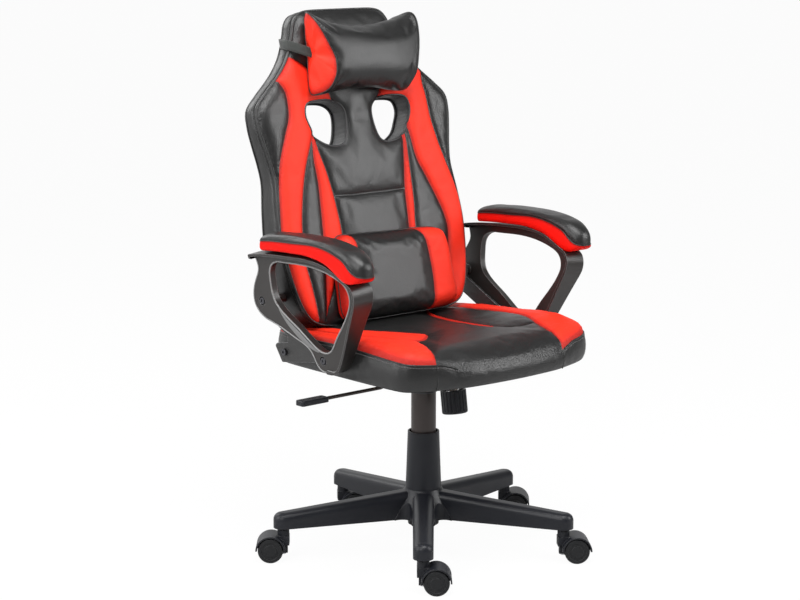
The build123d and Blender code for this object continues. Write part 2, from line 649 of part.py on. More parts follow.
# ---------------------------------------------------------------- seat
def seat_plan(inset):
    half = SEAT_HALF_WIDTH - inset
    front = -SEAT_FRONT_CORNER + inset
    bow = -SEAT_FRONT_CORNER - SEAT_FRONT_BULGE + inset
    rear = SEAT_REAR - inset
    edge = ThreePointArc((-half, front), (0, bow), (half, front))
    rest = Polyline((half, front), (half, rear), (-half, rear), (-half, front))
    plan = make_face(Curve() + [edge, rest])
    plan = fillet(plan.vertices().filter_by(lambda v: v.Y > 0), SEAT_REAR_RADIUS)
    front_corners = plan.vertices().filter_by(lambda v: v.Y < 0)
    return fillet(front_corners, SEAT_CORNER_RADIUS)


def board_blank():
    return Pos(0, 0, seat_low) * extrude(seat_plan(BOARD_INSET), BOARD_THICK)


def seat_board():
    board = board_blank()
    for x, y in mount_spots():
        board -= up(MOUNT_SCREW_D, seat_low - 1, seat_low + MOUNT_SCREW_GRIP, x, y)
    return board


def bolster(side):
    """Raised side of the seat, an elliptical ridge inside the plan."""
    middle = side * (SEAT_HALF_WIDTH - BOLSTER_WIDTH / 2 - 4)
    length = SEAT_FRONT_CORNER + BACK_FRONT_Y
    ridge = extrude(Ellipse(BOLSTER_WIDTH / 2, SEAT_TOP_EDGE + BOLSTER_RISE), length / 2, both=True)
    place = Pos(middle, BACK_FRONT_Y - length / 2, seat_top - SEAT_TOP_EDGE)
    return place * Rot(90, 0, 0) * ridge


def seat_cushion():
    pad = Pos(0, 0, seat_low) * extrude(seat_plan(0), SEAT_THICK)
    pad = fillet(pad.edges().group_by(Axis.Z)[-1], SEAT_TOP_EDGE)
    pad = fillet(pad.edges().group_by(Axis.Z)[0], 5)
    plan = Pos(0, 0, seat_low) * extrude(seat_plan(6), 2 * SEAT_THICK)
    for side in (-1, 1):
        pad += bolster(side) & plan
    pad -= board_blank()
    pad -= back_envelope(BACK_CROWN + CUSHION_GAP, 0)
    for rail in both_sides(seat_rail).values():
        pad -= rail
    for bolt in both_sides(arm_bolts).values():
        pad -= bolt
    return pad


def seat_rail():
    """Steel angle along the board's edge; its bosses carry the arm and the bracket."""
    y_from = front_bolt[0] - RAIL_PAST_BOSS
    y_to = foot_bolt[0] + RAIL_PAST_BOSS
    board_top = seat_low + BOARD_THICK
    rail = block(-board_half - RAIL_STEEL, -board_half, y_from, y_to, seat_low, seat_low + RAIL_HEIGHT)
    rail += block(-board_half, -board_half + RAIL_FLANGE, y_from, y_to, board_top, board_top + RAIL_STEEL)
    rail += across(RAIL_BOSS_D, -arm_in, -board_half, *front_bolt)
    rail += across(RAIL_BOSS_D, -bracket_in, -board_half, *foot_bolt)
    rail -= across(BOLT_D, -arm_in - 1, -board_half + 1, *front_bolt)
    rail -= across(BOLT_D, -arm_in - 1, -board_half + 1, *foot_bolt)
    return rail


# ---------------------------------------------------------------- back, in its own plane: (across, up, ahead)
# one eye opening at +X: points round its outline, from its middle
EYE_MIDDLE = (88.0, BACK_HEIGHT - 226.0)
EYE_OUTLINE = [(12, 44), (43, 37), (50, 16), (42, -10), (28, -34), (2, -46), (-30, -50), (-46, -36),
               (-54, 2), (-50, 26), (-26, 40)]
TOP_CORNER = 36.0
FOOT_CORNER = 48.0
FOOT_FLARE = 0.4           # slope of the side at the foot, across per up
HEAD_TAPER = 0.35          # and at the head, inward
NAPE_HEIGHT = BACK_HEIGHT - 140.0
NAPE_HALF = 196.0


def back_plan(inset=0.0):
    """Outline of the back: rounded feet, hips, waist, shoulders, neck and a squared head."""
    foot = FOOT_HALF - inset
    head = HEAD_HALF - inset
    low = -BACK_BOTTOM + inset
    high = BACK_HEIGHT - inset
    side = [(foot, low + FOOT_CORNER), (HIP_HALF - inset, HIP_HEIGHT), (WAIST_HALF - inset, WAIST_HEIGHT),
            (SHOULDER_HALF - inset, SHOULDER_HEIGHT), (NAPE_HALF - inset, NAPE_HEIGHT),
            (NECK_HALF - inset, NECK_HEIGHT), (head, high - TOP_CORNER)]
    right = Spline(*side, tangents=[(FOOT_FLARE, 1), (-HEAD_TAPER, 1)])
    corner = TOP_CORNER * (1 - sin(radians(45)))
    heel = FOOT_CORNER * (1 - sin(radians(45)))
    top = ThreePointArc((head, high - TOP_CORNER), (head - corner, high - corner), (head - TOP_CORNER, high))
    bottom = ThreePointArc((foot - FOOT_CORNER, low), (foot - heel, low + heel), (foot, low + FOOT_CORNER))
    half = Curve() + [bottom, right, top]
    across_top = Line((head - TOP_CORNER, high), (TOP_CORNER - head, high))
    across_low = Line((FOOT_CORNER - foot, low), (foot - FOOT_CORNER, low))
    return make_face(half + mirror(half, Plane.YZ) + [across_top, across_low])


def eye_plan(grow):
    points = [(EYE_MIDDLE[0] + x, EYE_MIDDLE[1] + y) for x, y in grown(EYE_OUTLINE, grow)]
    return make_face(Spline(*points, periodic=True))


def eye_holes(grow):
    hole = extrude(eye_plan(grow), 4 * BACK_THICK_LOW, both=True)
    return hole + mirrored(hole)


def rear_line(ahead):
    """Rear face in side view, moved forward by ahead."""
    return [(-BACK_BOTTOM - 20, ahead - BACK_THICK_LOW), (HIP_HEIGHT, ahead - BACK_THICK_LOW),
            (SHOULDER_HEIGHT, ahead - BACK_THICK_SHOULDER), (BACK_HEIGHT + 20, ahead - BACK_THICK_TOP)]


def back_slice(rear, front_line, plan):
    """A plan of the back, cut to the side view between two lines."""
    outline = rear + list(reversed(front_line))
    return extrude(plan, 4 * BACK_THICK_LOW, both=True) & side_profile(outline, 2 * SHOULDER_HALF)


def straight_line(ahead):
    return [(-BACK_BOTTOM - 20, ahead), (BACK_HEIGHT + 20, ahead)]


def back_envelope(front, rear_shift):
    return BACK * back_slice(rear_line(rear_shift), straight_line(front), back_plan())


def frame_point(across_u, up_v):
    share = up_v / FRAME_TOP
    depth = FRAME_DEPTH_LOW + (FRAME_DEPTH_TOP - FRAME_DEPTH_LOW) * share
    return (across_u, up_v, -depth)


def back_frame():
    """Bent steel hoop with three cross bars and a boss for each bracket."""
    bend_v = SHOULDER_HEIGHT + 16
    corners = [frame_point(-FRAME_HALF, FRAME_LOW), frame_point(-FRAME_HALF, bend_v),
               frame_point(-FRAME_TOP_HALF, FRAME_TOP), frame_point(FRAME_TOP_HALF, FRAME_TOP),
               frame_point(FRAME_HALF, bend_v), frame_point(FRAME_HALF, FRAME_LOW)]
    line = FilletPolyline(*corners, radius=FRAME_BEND)
    start = Plane(origin=line @ 0, z_dir=line % 0)
    frame = sweep(start * Circle(FRAME_TUBE / 2), path=line)
    for height in (FRAME_LOW + FRAME_TUBE, HIP_HEIGHT, WAIST_HEIGHT + 24):
        frame += rod(FRAME_BAR, frame_point(-FRAME_HALF, height), frame_point(FRAME_HALF, height))
    frame = BACK * frame
    for side in (-1, 1):
        frame += across(RAIL_BOSS_D, side * FRAME_HALF, side * bracket_in, *back_bolt)
        frame -= across(BOLT_D, side * FRAME_HALF, side * (bracket_in + 1), *back_bolt)
    return frame


def back_cushion():
    pad = back_slice(rear_line(REAR_PANEL), straight_line(BACK_CROWN / 3), back_plan())
    pad += back_slice(rear_line(REAR_PANEL), straight_line(BACK_CROWN), back_plan(CROWN_STEP))
    pad -= eye_holes(EYE_LINER)
    pad = BACK * pad
    pad -= back_frame()
    for bolt in both_sides(arm_bolts).values():
        pad -= bolt
    return pad


def back_cover():
    panel = back_slice(rear_line(0), rear_line(REAR_PANEL), back_plan())
    return BACK * (panel - eye_holes(EYE_LINER))


def eye_liner(side):
    ring = extrude(eye_plan(EYE_LINER), 4 * BACK_THICK_LOW, both=True)
    ring -= extrude(eye_plan(0), 4 * BACK_THICK_LOW, both=True)
    ring &= side_profile(rear_line(0) + list(reversed(straight_line(BACK_CROWN - 1))), 2 * SHOULDER_HALF)
    return BACK * (ring if side > 0 else mirrored(ring))


# ---------------------------------------------------------------- loose cushions
def cushion(half, height, thick, edge, middle_v):
    pad = fillet(Box(2 * half, height, thick).edges(), edge)
    return BACK * Pos(0, middle_v, crown_n + thick / 2) * pad


def head_pillow():
    return cushion(HEAD_PILLOW_HALF, HEAD_PILLOW_HEIGHT, HEAD_PILLOW_THICK, HEAD_PILLOW_EDGE,
                   HEAD_PILLOW_MIDDLE)


def lumbar_cushion():
    middle = LUMBAR_HEIGHT / 2 - 2
    return cushion(LUMBAR_HALF, LUMBAR_HEIGHT, LUMBAR_THICK, LUMBAR_EDGE, middle)


def head_strap():
    """Elastic band round the back's neck, sewn to the pillow's ends."""
    half = NECK_HALF + STRAP_SLACK
    rear = -BACK_THICK_SHOULDER - MOVING_GAP
    front = crown_n + HEAD_PILLOW_EDGE + 2
    middle_v = STRAP_REAR_MIDDLE - STRAP_FRONT_DROP / 2
    outer = Box(2 * (half + STRAP_THICK), STRAP_WIDTH, front - rear + 2 * STRAP_THICK)
    inner = Box(2 * half, 2 * STRAP_WIDTH, front - rear)
    ring = outer - inner
    gap = Box(2 * HEAD_PILLOW_HALF, 2 * STRAP_WIDTH, 8)
    ring = Pos(0, 0, (front + rear) / 2) * ring - Pos(0, 0, front + STRAP_THICK) * gap
    return BACK * Pos(0, middle_v, 0) * ring


# ---------------------------------------------------------------- arms, drawn from the front bolt: (back, up)
ARM_OUTER = [(180, 193), (129, 200), (54, 204), (-16, 204), (-68, 193), (-101, 177), (-125, 163),
             (-131, 142), (-120, 112), (-102, 78), (-84, 43), (-62, 4), (-42, -17), (-14, -21), (14, -13),
             (30, 12), (72, 34), (140, 56), (178, 68), (196, 88), (197, 112), (186, 138), (174, 162),
             (180, 185)]
ARM_INNER = [(122, 179), (136, 166), (138, 138), (132, 106), (110, 84), (66, 58), (22, 30), (-4, 20),
             (-24, 24), (-42, 46), (-66, 78), (-90, 114), (-97, 138), (-90, 156), (-66, 170), (-22, 181),
             (40, 185), (96, 183)]
PAD_OUTLINE = [(141, 202), (54, 207), (-16, 207), (-64, 196), (-90, 181), (-108, 170), (-126, 168),
               (-144, 177), (-156, 191), (-153, 208), (-133, 222), (-97, 234), (-53, 240), (20, 242),
               (94, 240), (130, 234), (143, 218)]
BRACKET_OUTLINE = [(36, 20), (158, 82), (162, 110), (190, 110), (196, 80), (190, 60), (126, 28), (126, 15),
                   (160, 9), (166, 4), (144, -27), (44, -12), (32, -2)]


def arm_place():
    """The arm's plane: upright at the front bolt, splayed outward above it."""
    return Pos(-arm_in, *front_bolt) * Rot(0, -ARM_LEAN, 0)


def arm_web_face(points):
    return Plane.YZ * make_face(Spline(*points, periodic=True))


def arm_flange():
    """Wide rim along the top and down the front post, tapering to the knuckle."""
    outer = extrude(arm_web_face(ARM_OUTER), ARM_FLANGE_WIDTH / 2, both=True)
    inner = extrude(arm_web_face(grown(ARM_OUTER, -ARM_FLANGE)), ARM_FLANGE_WIDTH, both=True)
    rim = outer - inner
    top_front = [(220, 187), (150, 183), (-30, -40), (-200, -40), (-200, 260), (220, 260)]
    rim &= side_profile(top_front, ARM_FLANGE_WIDTH)
    foot = ARM_FOOT_WIDTH / 2
    top = ARM_FLANGE_WIDTH / 2
    taper = Polyline((-foot, -40), (foot, -40), (top, 130), (top, 260), (-top, 260), (-top, 130), close=True)
    return rim & extrude(Plane.XZ * make_face(taper.edges()), 300, both=True)


def arm_frame():
    web = extrude(arm_web_face(ARM_OUTER), ARM_WEB / 2, both=True)
    web -= extrude(arm_web_face(ARM_INNER), ARM_WEB, both=True)
    arm = arm_place() * Pos(-ARM_WEB / 2, 0, 0) * (web + arm_flange())
    arm += across(RAIL_BOSS_D + 4, -arm_outer_x(back_bolt[1]) + 4, -bracket_out, *back_bolt)
    arm -= across(RAIL_BOSS_D + 2 * MOVING_GAP, -arm_in, -bracket_in, *front_bolt)
    for y, z in (front_bolt, back_bolt):
        outer = arm_outer_x(z)
        arm -= across(BOLT_D, -outer - 9, -bracket_in, y, z)
        arm -= across(BOLT_RECESS_D, -outer - 9, -outer + BOLT_HEAD + 1, y, z)
    return arm


def arm_outer_x(z):
    """Distance from the middle to the web's outer face at a height."""
    rise = z - front_bolt[1]
    return arm_in + rise * tan(radians(ARM_LEAN)) + ARM_WEB / cos(radians(ARM_LEAN))


def arm_pad():
    shape = extrude(arm_web_face(PAD_OUTLINE), ARM_PAD_WIDTH / 2, both=True)
    middle_rise = sum(point[1] for point in PAD_OUTLINE) / len(PAD_OUTLINE)
    x = arm_outer_x(front_bolt[1] + middle_rise) - ARM_WEB / 2
    return Pos(-x, *front_bolt) * shape - arm_frame()


def back_bracket():
    outline = make_face(Polyline(*BRACKET_OUTLINE, close=True).edges())
    outline = fillet(outline.vertices(), 4)
    plate = extrude(Plane.YZ * outline, -BRACKET_STEEL)
    plate = Pos(-bracket_in, *front_bolt) * plate
    for y, z in (foot_bolt, back_bolt):
        plate -= across(BOLT_D, -bracket_out - 1, -bracket_in + 1, y, z)
    return plate


def arm_bolts():
    """Three bolts on one side: knuckle, bracket foot and back."""
    bolts = []
    seats = [(front_bolt, arm_outer_x(front_bolt[1]) - BOLT_HEAD - 1, board_half),
             (foot_bolt, bracket_out, board_half),
             (back_bolt, arm_outer_x(back_bolt[1]) - BOLT_HEAD - 1, FRAME_HALF)]
    for spot, head_x, end_x in seats:
        bolt = across(BOLT_D, -head_x, -end_x, *spot)
        bolts.append(bolt + across(BOLT_HEAD_D, -head_x - BOLT_HEAD, -head_x, *spot))
    return Compound(children=bolts)


# ---------------------------------------------------------------- the whole chair
def build_nodes():
    nodes = {"star_base": star_base()}
    stems = []
    for number in range(LEGS):
        place = castor_frame(number)
        tag = str(number + 1)
        stems.append(place * castor_stem())
        nodes["castor_hood_" + tag] = place * castor_hood()
        nodes["castor_axle_" + tag] = place * castor_axle()
        nodes["castor_wheel_left_" + tag] = place * castor_wheel(1)
        nodes["castor_wheel_right_" + tag] = place * castor_wheel(-1)
    nodes["castor_stems"] = Compound(children=stems)
    plain = [stand_tube, column_cover, guide_bush, piston_rod, thrust_bearing, rod_clip, gas_cylinder,
             valve_pin, tilt_housing, seat_plate, mount_screws, tilt_pin, tension_bolt, tension_knob,
             tension_washer, tension_spring, lever_bush, lever_rod, lever_paddle, seat_board, seat_cushion,
             back_frame, back_cushion, back_cover, head_pillow, head_strap, lumbar_cushion]
    for make in plain:
        nodes[make.__name__] = make()
    for make in (arm_frame, arm_pad, back_bracket):
        for side, shape in both_sides(make).items():
            nodes[make.__name__ + "_" + side] = shape
    nodes["eye_liner_right"] = eye_liner(-1)
    nodes["eye_liner_left"] = eye_liner(1)
    nodes["seat_rails"] = Compound(children=list(both_sides(seat_rail).values()))
    bolts = [solid for group in both_sides(arm_bolts).values() for solid in group.solids()]
    nodes["arm_bolts"] = Compound(children=bolts)
    return nodes


os.makedirs("parts", exist_ok=True)
for node, shape in build_nodes().items():
    export_step(shape, "parts/" + node + ".step")
    print(node, round(shape.volume / 1000, 1), "cm3")
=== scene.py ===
# %% [markdown]
# # A gaming chair, dressed for the camera
# The rigid parts arrive as a finished frame: castors, base, gas lift, tilt mechanism, lever, seat board
# and arm irons. This lesson gives each of them a finish, and sews, stuffs and fits the soft parts.
# Sizes in the tables below are millimetres, because upholsterers work in them. Meshes are in metres.

# %% Load the frame
import bmesh
import bpy
import json
import numpy as np
from mathutils import Matrix, Vector
from mathutils.geometry import delaunay_2d_cdt


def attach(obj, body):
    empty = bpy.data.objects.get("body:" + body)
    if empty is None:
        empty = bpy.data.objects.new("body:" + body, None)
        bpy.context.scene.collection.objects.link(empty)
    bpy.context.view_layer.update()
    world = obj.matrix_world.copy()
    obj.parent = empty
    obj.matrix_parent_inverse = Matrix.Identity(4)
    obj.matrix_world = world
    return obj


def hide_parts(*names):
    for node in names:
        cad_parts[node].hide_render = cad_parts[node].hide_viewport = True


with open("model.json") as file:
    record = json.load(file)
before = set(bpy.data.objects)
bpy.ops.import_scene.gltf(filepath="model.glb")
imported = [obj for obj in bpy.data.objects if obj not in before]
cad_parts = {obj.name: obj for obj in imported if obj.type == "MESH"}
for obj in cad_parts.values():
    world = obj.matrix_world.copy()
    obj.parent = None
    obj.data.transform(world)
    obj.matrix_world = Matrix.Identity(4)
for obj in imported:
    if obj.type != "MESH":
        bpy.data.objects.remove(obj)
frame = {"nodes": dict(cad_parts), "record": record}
bpy.context.view_layer.update()
nodes = frame["nodes"]
MM = 0.001

# %% [markdown]
# ## Camera and light
# The chair is seen a little from its right and from just above seat height, through a long lens, so its
# upright lines stay nearly parallel. Two tall soft boxes stand left and right of the camera and draw the
# pair of bands that run down every rounded dark part. A broad overhead box fills the tops. Two weaker ones
# stand behind the chair, one beside it and one above it, and light its rear edges.

# %% Camera
camera = bpy.data.objects.new("camera", bpy.data.cameras.new("camera"))
bpy.context.scene.collection.objects.link(camera)
camera.data.lens = 94.8
camera.data.clip_start, camera.data.clip_end = 0.05, 200.0
camera.location = (-2.7525, -3.0569, 1.2755)
camera.rotation_mode = "QUATERNION"
camera.rotation_quaternion = Vector((0.6494, 0.7381, -0.1831)).to_track_quat("-Z", "Y")
bpy.context.scene.camera = camera
print("camera lens", camera.data.lens)

# %% Soft boxes
def soft_box(name, place, target, width, height, power):
    """A rectangular area light that faces its target."""
    light = bpy.data.lights.new(name, "AREA")
    light.shape = "RECTANGLE"
    light.size, light.size_y, light.energy = width, height, power
    lamp = bpy.data.objects.new(name, light)
    lamp.location = place
    lamp.rotation_mode = "QUATERNION"
    lamp.rotation_quaternion = (Vector(target) - Vector(place)).to_track_quat("-Z", "Y")
    bpy.context.scene.collection.objects.link(lamp)
    return lamp


soft_box("box_left", (-2.5, -1.0, 2.0), (0, 0, 0.8), 0.8, 1.6, 44)
soft_box("box_right", (1.9, -2.3, 1.75), (0, 0, 0.8), 0.8, 1.6, 62)
soft_box("box_rim", (-2.2, 0.9, 1.5), (0, 0.1, 0.9), 0.7, 1.8, 34)
soft_box("box_behind", (-0.5, 2.8, 2.3), (0, 0.2, 1.0), 1.5, 1.5, 30)
soft_box("box_above", (-0.5, -1.0, 3.0), (0, 0, 0.6), 1.6, 1.6, 84)
bpy.context.scene.view_settings.view_transform = "Standard"

# %% [markdown]
# ## Writing shader maths as sums
# A material is a graph of nodes. Wiring Math nodes by hand hides the idea, so one small class wraps an
# output and lets Python's own operators add the nodes. Every other node comes from one method, which
# sets its settings first and then fills or links its inputs.

# %% Channel and Finish
class Channel:
    """One output of a node, usable in sums."""

    def __init__(self, finish, socket):
        self.finish = finish
        self.socket = socket

    def sum(self, operation, *values):
        return self.finish.node("ShaderNodeMath", {"operation": operation}, values)

    def __add__(self, other):
        return self.sum("ADD", self, other)

    def __radd__(self, other):
        return self.sum("ADD", other, self)

    def __sub__(self, other):
        return self.sum("SUBTRACT", self, other)

    def __rsub__(self, other):
        return self.sum("SUBTRACT", other, self)

    def __mul__(self, other):
        return self.sum("MULTIPLY", self, other)

    def __rmul__(self, other):
        return self.sum("MULTIPLY", other, self)

    def __truediv__(self, other):
        return self.sum("DIVIDE", self, other)

    def __rtruediv__(self, other):
        return self.sum("DIVIDE", other, self)

    def __pow__(self, other):
        return self.sum("POWER", self, other)

    def __gt__(self, other):
        return self.sum("GREATER_THAN", self, other)

    def __lt__(self, other):
        return self.sum("LESS_THAN", self, other)


class Finish:
    """A material under construction."""

    def __init__(self, name):
        self.material = bpy.data.materials.new(name)
        self.material.use_nodes = True
        self.tree = self.material.node_tree
        self.tree.nodes.clear()

    def node(self, kind, settings=None, inputs=(), output=0):
        made = self.tree.nodes.new(kind)
        for key, value in (settings or {}).items():
            if key == "stops":
                for stop, (place, colour) in zip(made.color_ramp.elements, value):
                    stop.position = place
                    stop.color = colour
            else:
                setattr(made, key, value)
        pairs = inputs.items() if isinstance(inputs, dict) else enumerate(inputs)
        for socket, value in pairs:
            if isinstance(value, Channel):
                self.tree.links.new(value.socket, made.inputs[socket])
            else:
                made.inputs[socket].default_value = value
        return Channel(self, made.outputs[output]) if len(made.outputs) else made

    def place(self):
        """Position in the piece's own space, in metres."""
        return self.node("ShaderNodeTexCoord", output="Object")

    def noise(self, scale, detail=2.0, warp=0.0, vector=None):
        where = vector or self.place()
        return self.node("ShaderNodeTexNoise", {}, {"Vector": where, "Scale": scale, "Detail": detail,
                                                    "Distortion": warp})

    def cells(self, scale, feature="F1", output=0):
        return self.node("ShaderNodeTexVoronoi", {"feature": feature},
                         {"Vector": self.place(), "Scale": scale},
                         output)

    def mixed(self, share, first, second):
        """Colour between two colours."""
        return self.node("ShaderNodeMix", {"data_type": "RGBA"}, {0: share, 6: first, 7: second}, 2)

    def rounded(self, radius):
        """Normal that rounds the sharp edges of a moulding or a pressing."""
        return self.node("ShaderNodeBevel", {"samples": 4}, {"Radius": radius})

    def edges(self, radius):
        """1 along sharp edges and 0 on flat faces, from how far the rounding turns the normal."""
        plain = self.node("ShaderNodeNewGeometry", output="Normal")
        turned = self.node("ShaderNodeVectorMath", {"operation": "DOT_PRODUCT"},
                           [self.rounded(radius), plain], 1)
        return self.node("ShaderNodeMapRange", {}, {"Value": turned, "From Min": 0.99, "From Max": 0.80})

    def bump(self, height, depth, normal=None):
        inputs = {"Height": height, "Distance": depth, "Strength": 1.0}
        if normal is not None:
            inputs["Normal"] = normal
        return self.node("ShaderNodeBump", {}, inputs)

    def surface(self, **sockets):
        """Principled surface; underscores in the names stand for spaces."""
        named = {key.replace("_", " "): value for key, value in sockets.items()}
        shader = self.node("ShaderNodeBsdfPrincipled", {}, named)
        self.node("ShaderNodeOutputMaterial", {}, [shader])
        return self.material


print("shader helper ready")

# %% [markdown]
# ## Floor and background
# The chair stands on a plain white sweep. The camera sees the floor mostly as its own white, and a small
# share of it as a lit matt surface, so that the chair's shadow stays. The world is white to the camera. As a
# light it is a soft grey, and in reflections it is white low down and behind, where the sweep stands, and
# darker above and in front, so that black leather keeps its depth.

# %% Floor and world
BEHIND = (0.12, 0.97, -0.1)


def make_floor():
    sweep = Finish("sweep_white")
    path = sweep.node("ShaderNodeLightPath", output="Is Camera Ray")
    lit = sweep.node("ShaderNodeBsdfDiffuse", {}, {"Color": (0.55, 0.55, 0.55, 1)})
    glow = sweep.node("ShaderNodeEmission", {}, {"Color": (1, 1, 1, 1), "Strength": 1.02})
    bright = sweep.node("ShaderNodeVectorMath", {"operation": "DOT_PRODUCT"},
                        {0: sweep.node("ShaderNodeTexCoord", output="Object"), 1: BEHIND}, 1)
    reach = sweep.node("ShaderNodeMapRange", {"interpolation_type": "SMOOTHSTEP"},
                       {"Value": bright, "From Min": -0.2, "From Max": 2.5, "To Min": 0.0, "To Max": 0.9})
    mirrored = sweep.node("ShaderNodeLightPath", output="Is Glossy Ray")
    both = sweep.node("ShaderNodeMixShader", {}, [path * 0.94 + mirrored * reach, lit, glow])
    sweep.node("ShaderNodeOutputMaterial", {}, [both])
    mesh = bpy.data.meshes.new("floor")
    half = 60.0
    mesh.from_pydata([(-half, -half, 0), (half, -half, 0), (half, half, 0), (-half, half, 0)], [],
                     [(0, 1, 2, 3)])
    mesh.materials.append(sweep.material)
    floor = bpy.data.objects.new("floor", mesh)
    bpy.context.scene.collection.objects.link(floor)
    return floor


def make_world():
    world = bpy.data.worlds.new("studio")
    world.use_nodes = True
    tree = world.node_tree
    tree.nodes.clear()

    def node(kind, links=(), values=None, **settings):
        made = tree.nodes.new(kind)
        for key, value in settings.items():
            setattr(made, key, value)
        for place, value in (values or {}).items():
            made.inputs[place].default_value = value
        for place, source in enumerate(links):
            if source is not None:
                tree.links.new(source, made.inputs[place])
        return made

    path = node("ShaderNodeLightPath")
    seen = node("ShaderNodeMath", [path.outputs["Is Camera Ray"], path.outputs["Is Transmission Ray"]],
                operation="MAXIMUM")
    facing = node("ShaderNodeVectorMath", [node("ShaderNodeTexCoord").outputs["Generated"]], {1: BEHIND},
                  operation="DOT_PRODUCT")
    sweep = node("ShaderNodeMapRange", [facing.outputs["Value"]],
                 {"From Min": -0.1, "From Max": 0.75, "To Min": 0.06,
                  "To Max": 0.9}, interpolation_type="SMOOTHSTEP")
    ambient = node("ShaderNodeBackground", [], {"Color": (1, 1, 1, 1), "Strength": 0.24})
    mirrored = node("ShaderNodeBackground", [None, sweep.outputs[0]], {"Color": (1, 1, 1, 1)})
    white = node("ShaderNodeBackground", [], {"Color": (1, 1, 1, 1), "Strength": 1.0})
    other = node("ShaderNodeMixShader",
                 [path.outputs["Is Glossy Ray"], ambient.outputs[0], mirrored.outputs[0]])
    both = node("ShaderNodeMixShader", [seen.outputs[0], other.outputs[0], white.outputs[0]])
    node("ShaderNodeOutputWorld", [both.outputs[0]])
    bpy.context.scene.world = world


make_floor()
make_world()
print("studio ready")

# %% [markdown]
# ## Leatherette
# The cover is cloth with a skin of soft plastic, embossed with a grain of about a millimetre. Three scales
# make it read as leather: the fine cells of the grain, slow creases where the foam gives, and short gathers
# that run away from a seam. Every sewn piece carries a number per point called "seam", the distance to its
# nearest seam in millimetres, so that the gathers know where to be and the colour can be painted darker
# towards the seam, as the shade in its groove.

# %% Leatherette
def leatherette(name, colour, seam_shade_colour, gloss, crease=1.0, shine=0.5):
    skin = Finish(name)
    away = skin.node("ShaderNodeAttribute", {"attribute_name": "seam"}, output=2)
    near = 1.0 / (1.0 + away * away * 0.012)
    grain = skin.cells(950.0)
    pores = skin.noise(2600.0, 2.0)
    slow = skin.noise(26.0, 3.0, 0.8)
    folds = skin.noise(95.0, 3.0, 1.6)
    gather = skin.noise(210.0, 2.0, 0.4)
    height = grain * 0.11 + pores * 0.05 + folds * (0.16 * crease) + slow * (0.5 * crease) + gather * near * 0.9
    shade = skin.node("ShaderNodeValToRGB", {"stops": [(0.3, (0.86, 0.86, 0.86, 1)), (0.75, (1, 1, 1, 1))]},
                      [slow])
    tint = skin.node("ShaderNodeMix", {"data_type": "RGBA", "blend_type": "MULTIPLY"},
                     {0: 1.0, 6: (*colour, 1), 7: shade}, 2)
    # Painted shade: the colour turns darker towards a seam, standing in for the shade in its groove.
    dark = skin.mixed(near * near * near * 0.75, tint, (*seam_shade_colour, 1))
    return skin.surface(Base_Color=dark, Roughness=gloss + grain * 0.12 + slow * 0.08,
                        Normal=skin.bump(height, 0.0010), Specular_IOR_Level=shine)


red_skin = leatherette("leatherette_red", (0.82, 0.026, 0.008), (0.20, 0.004, 0.003), 0.46, 1.0, 0.25)
black_skin = leatherette("leatherette_black", (0.0085, 0.0085, 0.0085), (0.002, 0.002, 0.002), 0.29)
# Painted shade: a deeper, less glossy copy of the red, for the arm pads' bands, which lie in the shade of the
# crown.
red_skin_in_shade = leatherette("leatherette_red_shaded_copy", (0.88, 0.006, 0.002), (0.20, 0.002, 0.002), 0.50, 1.0, 0.12)
rear_skin = leatherette("leatherette_rear", (0.0085, 0.0085, 0.0090), (0.002, 0.002, 0.002), 0.42, 0.6)
print("leatherettes:", red_skin.name, black_skin.name, rear_skin.name)

# %% [markdown]
# ## Plastics and metals
# Nylon from a mould has a faint orange-peel skin and edges rounded by half a millimetre. The rounding is
# given in the shader by a Bevel node, so the frame's own meshes stay as they are. Powder paint is rougher,
# and turned or plated steel is smooth with fine lines. Along the sharp edges the colour is painted a lighter
# grey, as a highlight of the lamps on the rounding.

# %% Mouldings and paint
def moulding(name, colour, roughness, edge=0.8, peel=0.25, scale=420.0, metallic=0.0, wear=0.02, edge_highlight_grey=0.06,
             shine=0.5):
    part = Finish(name)
    skin = part.noise(scale, 3.0)
    cloud = part.noise(9.0, 2.0)
    worn = (*[min(1.0, c + wear) for c in colour], 1)
    # Painted highlight: a light grey laid along the sharp edges, where the rounding would catch the lamps.
    edge_highlight_share = part.edges(edge * MM) * (0.4 + cloud * 0.6)
    shade = part.mixed(edge_highlight_share, part.mixed(cloud * 0.8, (*colour, 1), worn), (edge_highlight_grey, edge_highlight_grey, edge_highlight_grey * 1.03, 1))
    return part.surface(Base_Color=shade, Metallic=metallic, Roughness=roughness + cloud * 0.08 + skin * 0.06,
                        Normal=part.bump(skin * peel, 0.0004,
                                         part.rounded(edge * MM)), Specular_IOR_Level=shine)


def drawn_metal(name, colour, roughness, lines=900.0):
    part = Finish(name)
    place = part.place()
    squeezed = part.node("ShaderNodeMapping", {}, {"Vector": place, "Scale": (1.0, 1.0, 0.06)})
    score = part.noise(lines, 2.0, 0.0, squeezed)
    return part.surface(Base_Color=part.mixed(score, (*colour, 1), (*[c * 0.8 for c in colour], 1)),
                        Metallic=1.0,
                        Roughness=roughness + score * 0.12, Normal=part.bump(score, 0.00006,
                                                                             part.rounded(0.0005)))


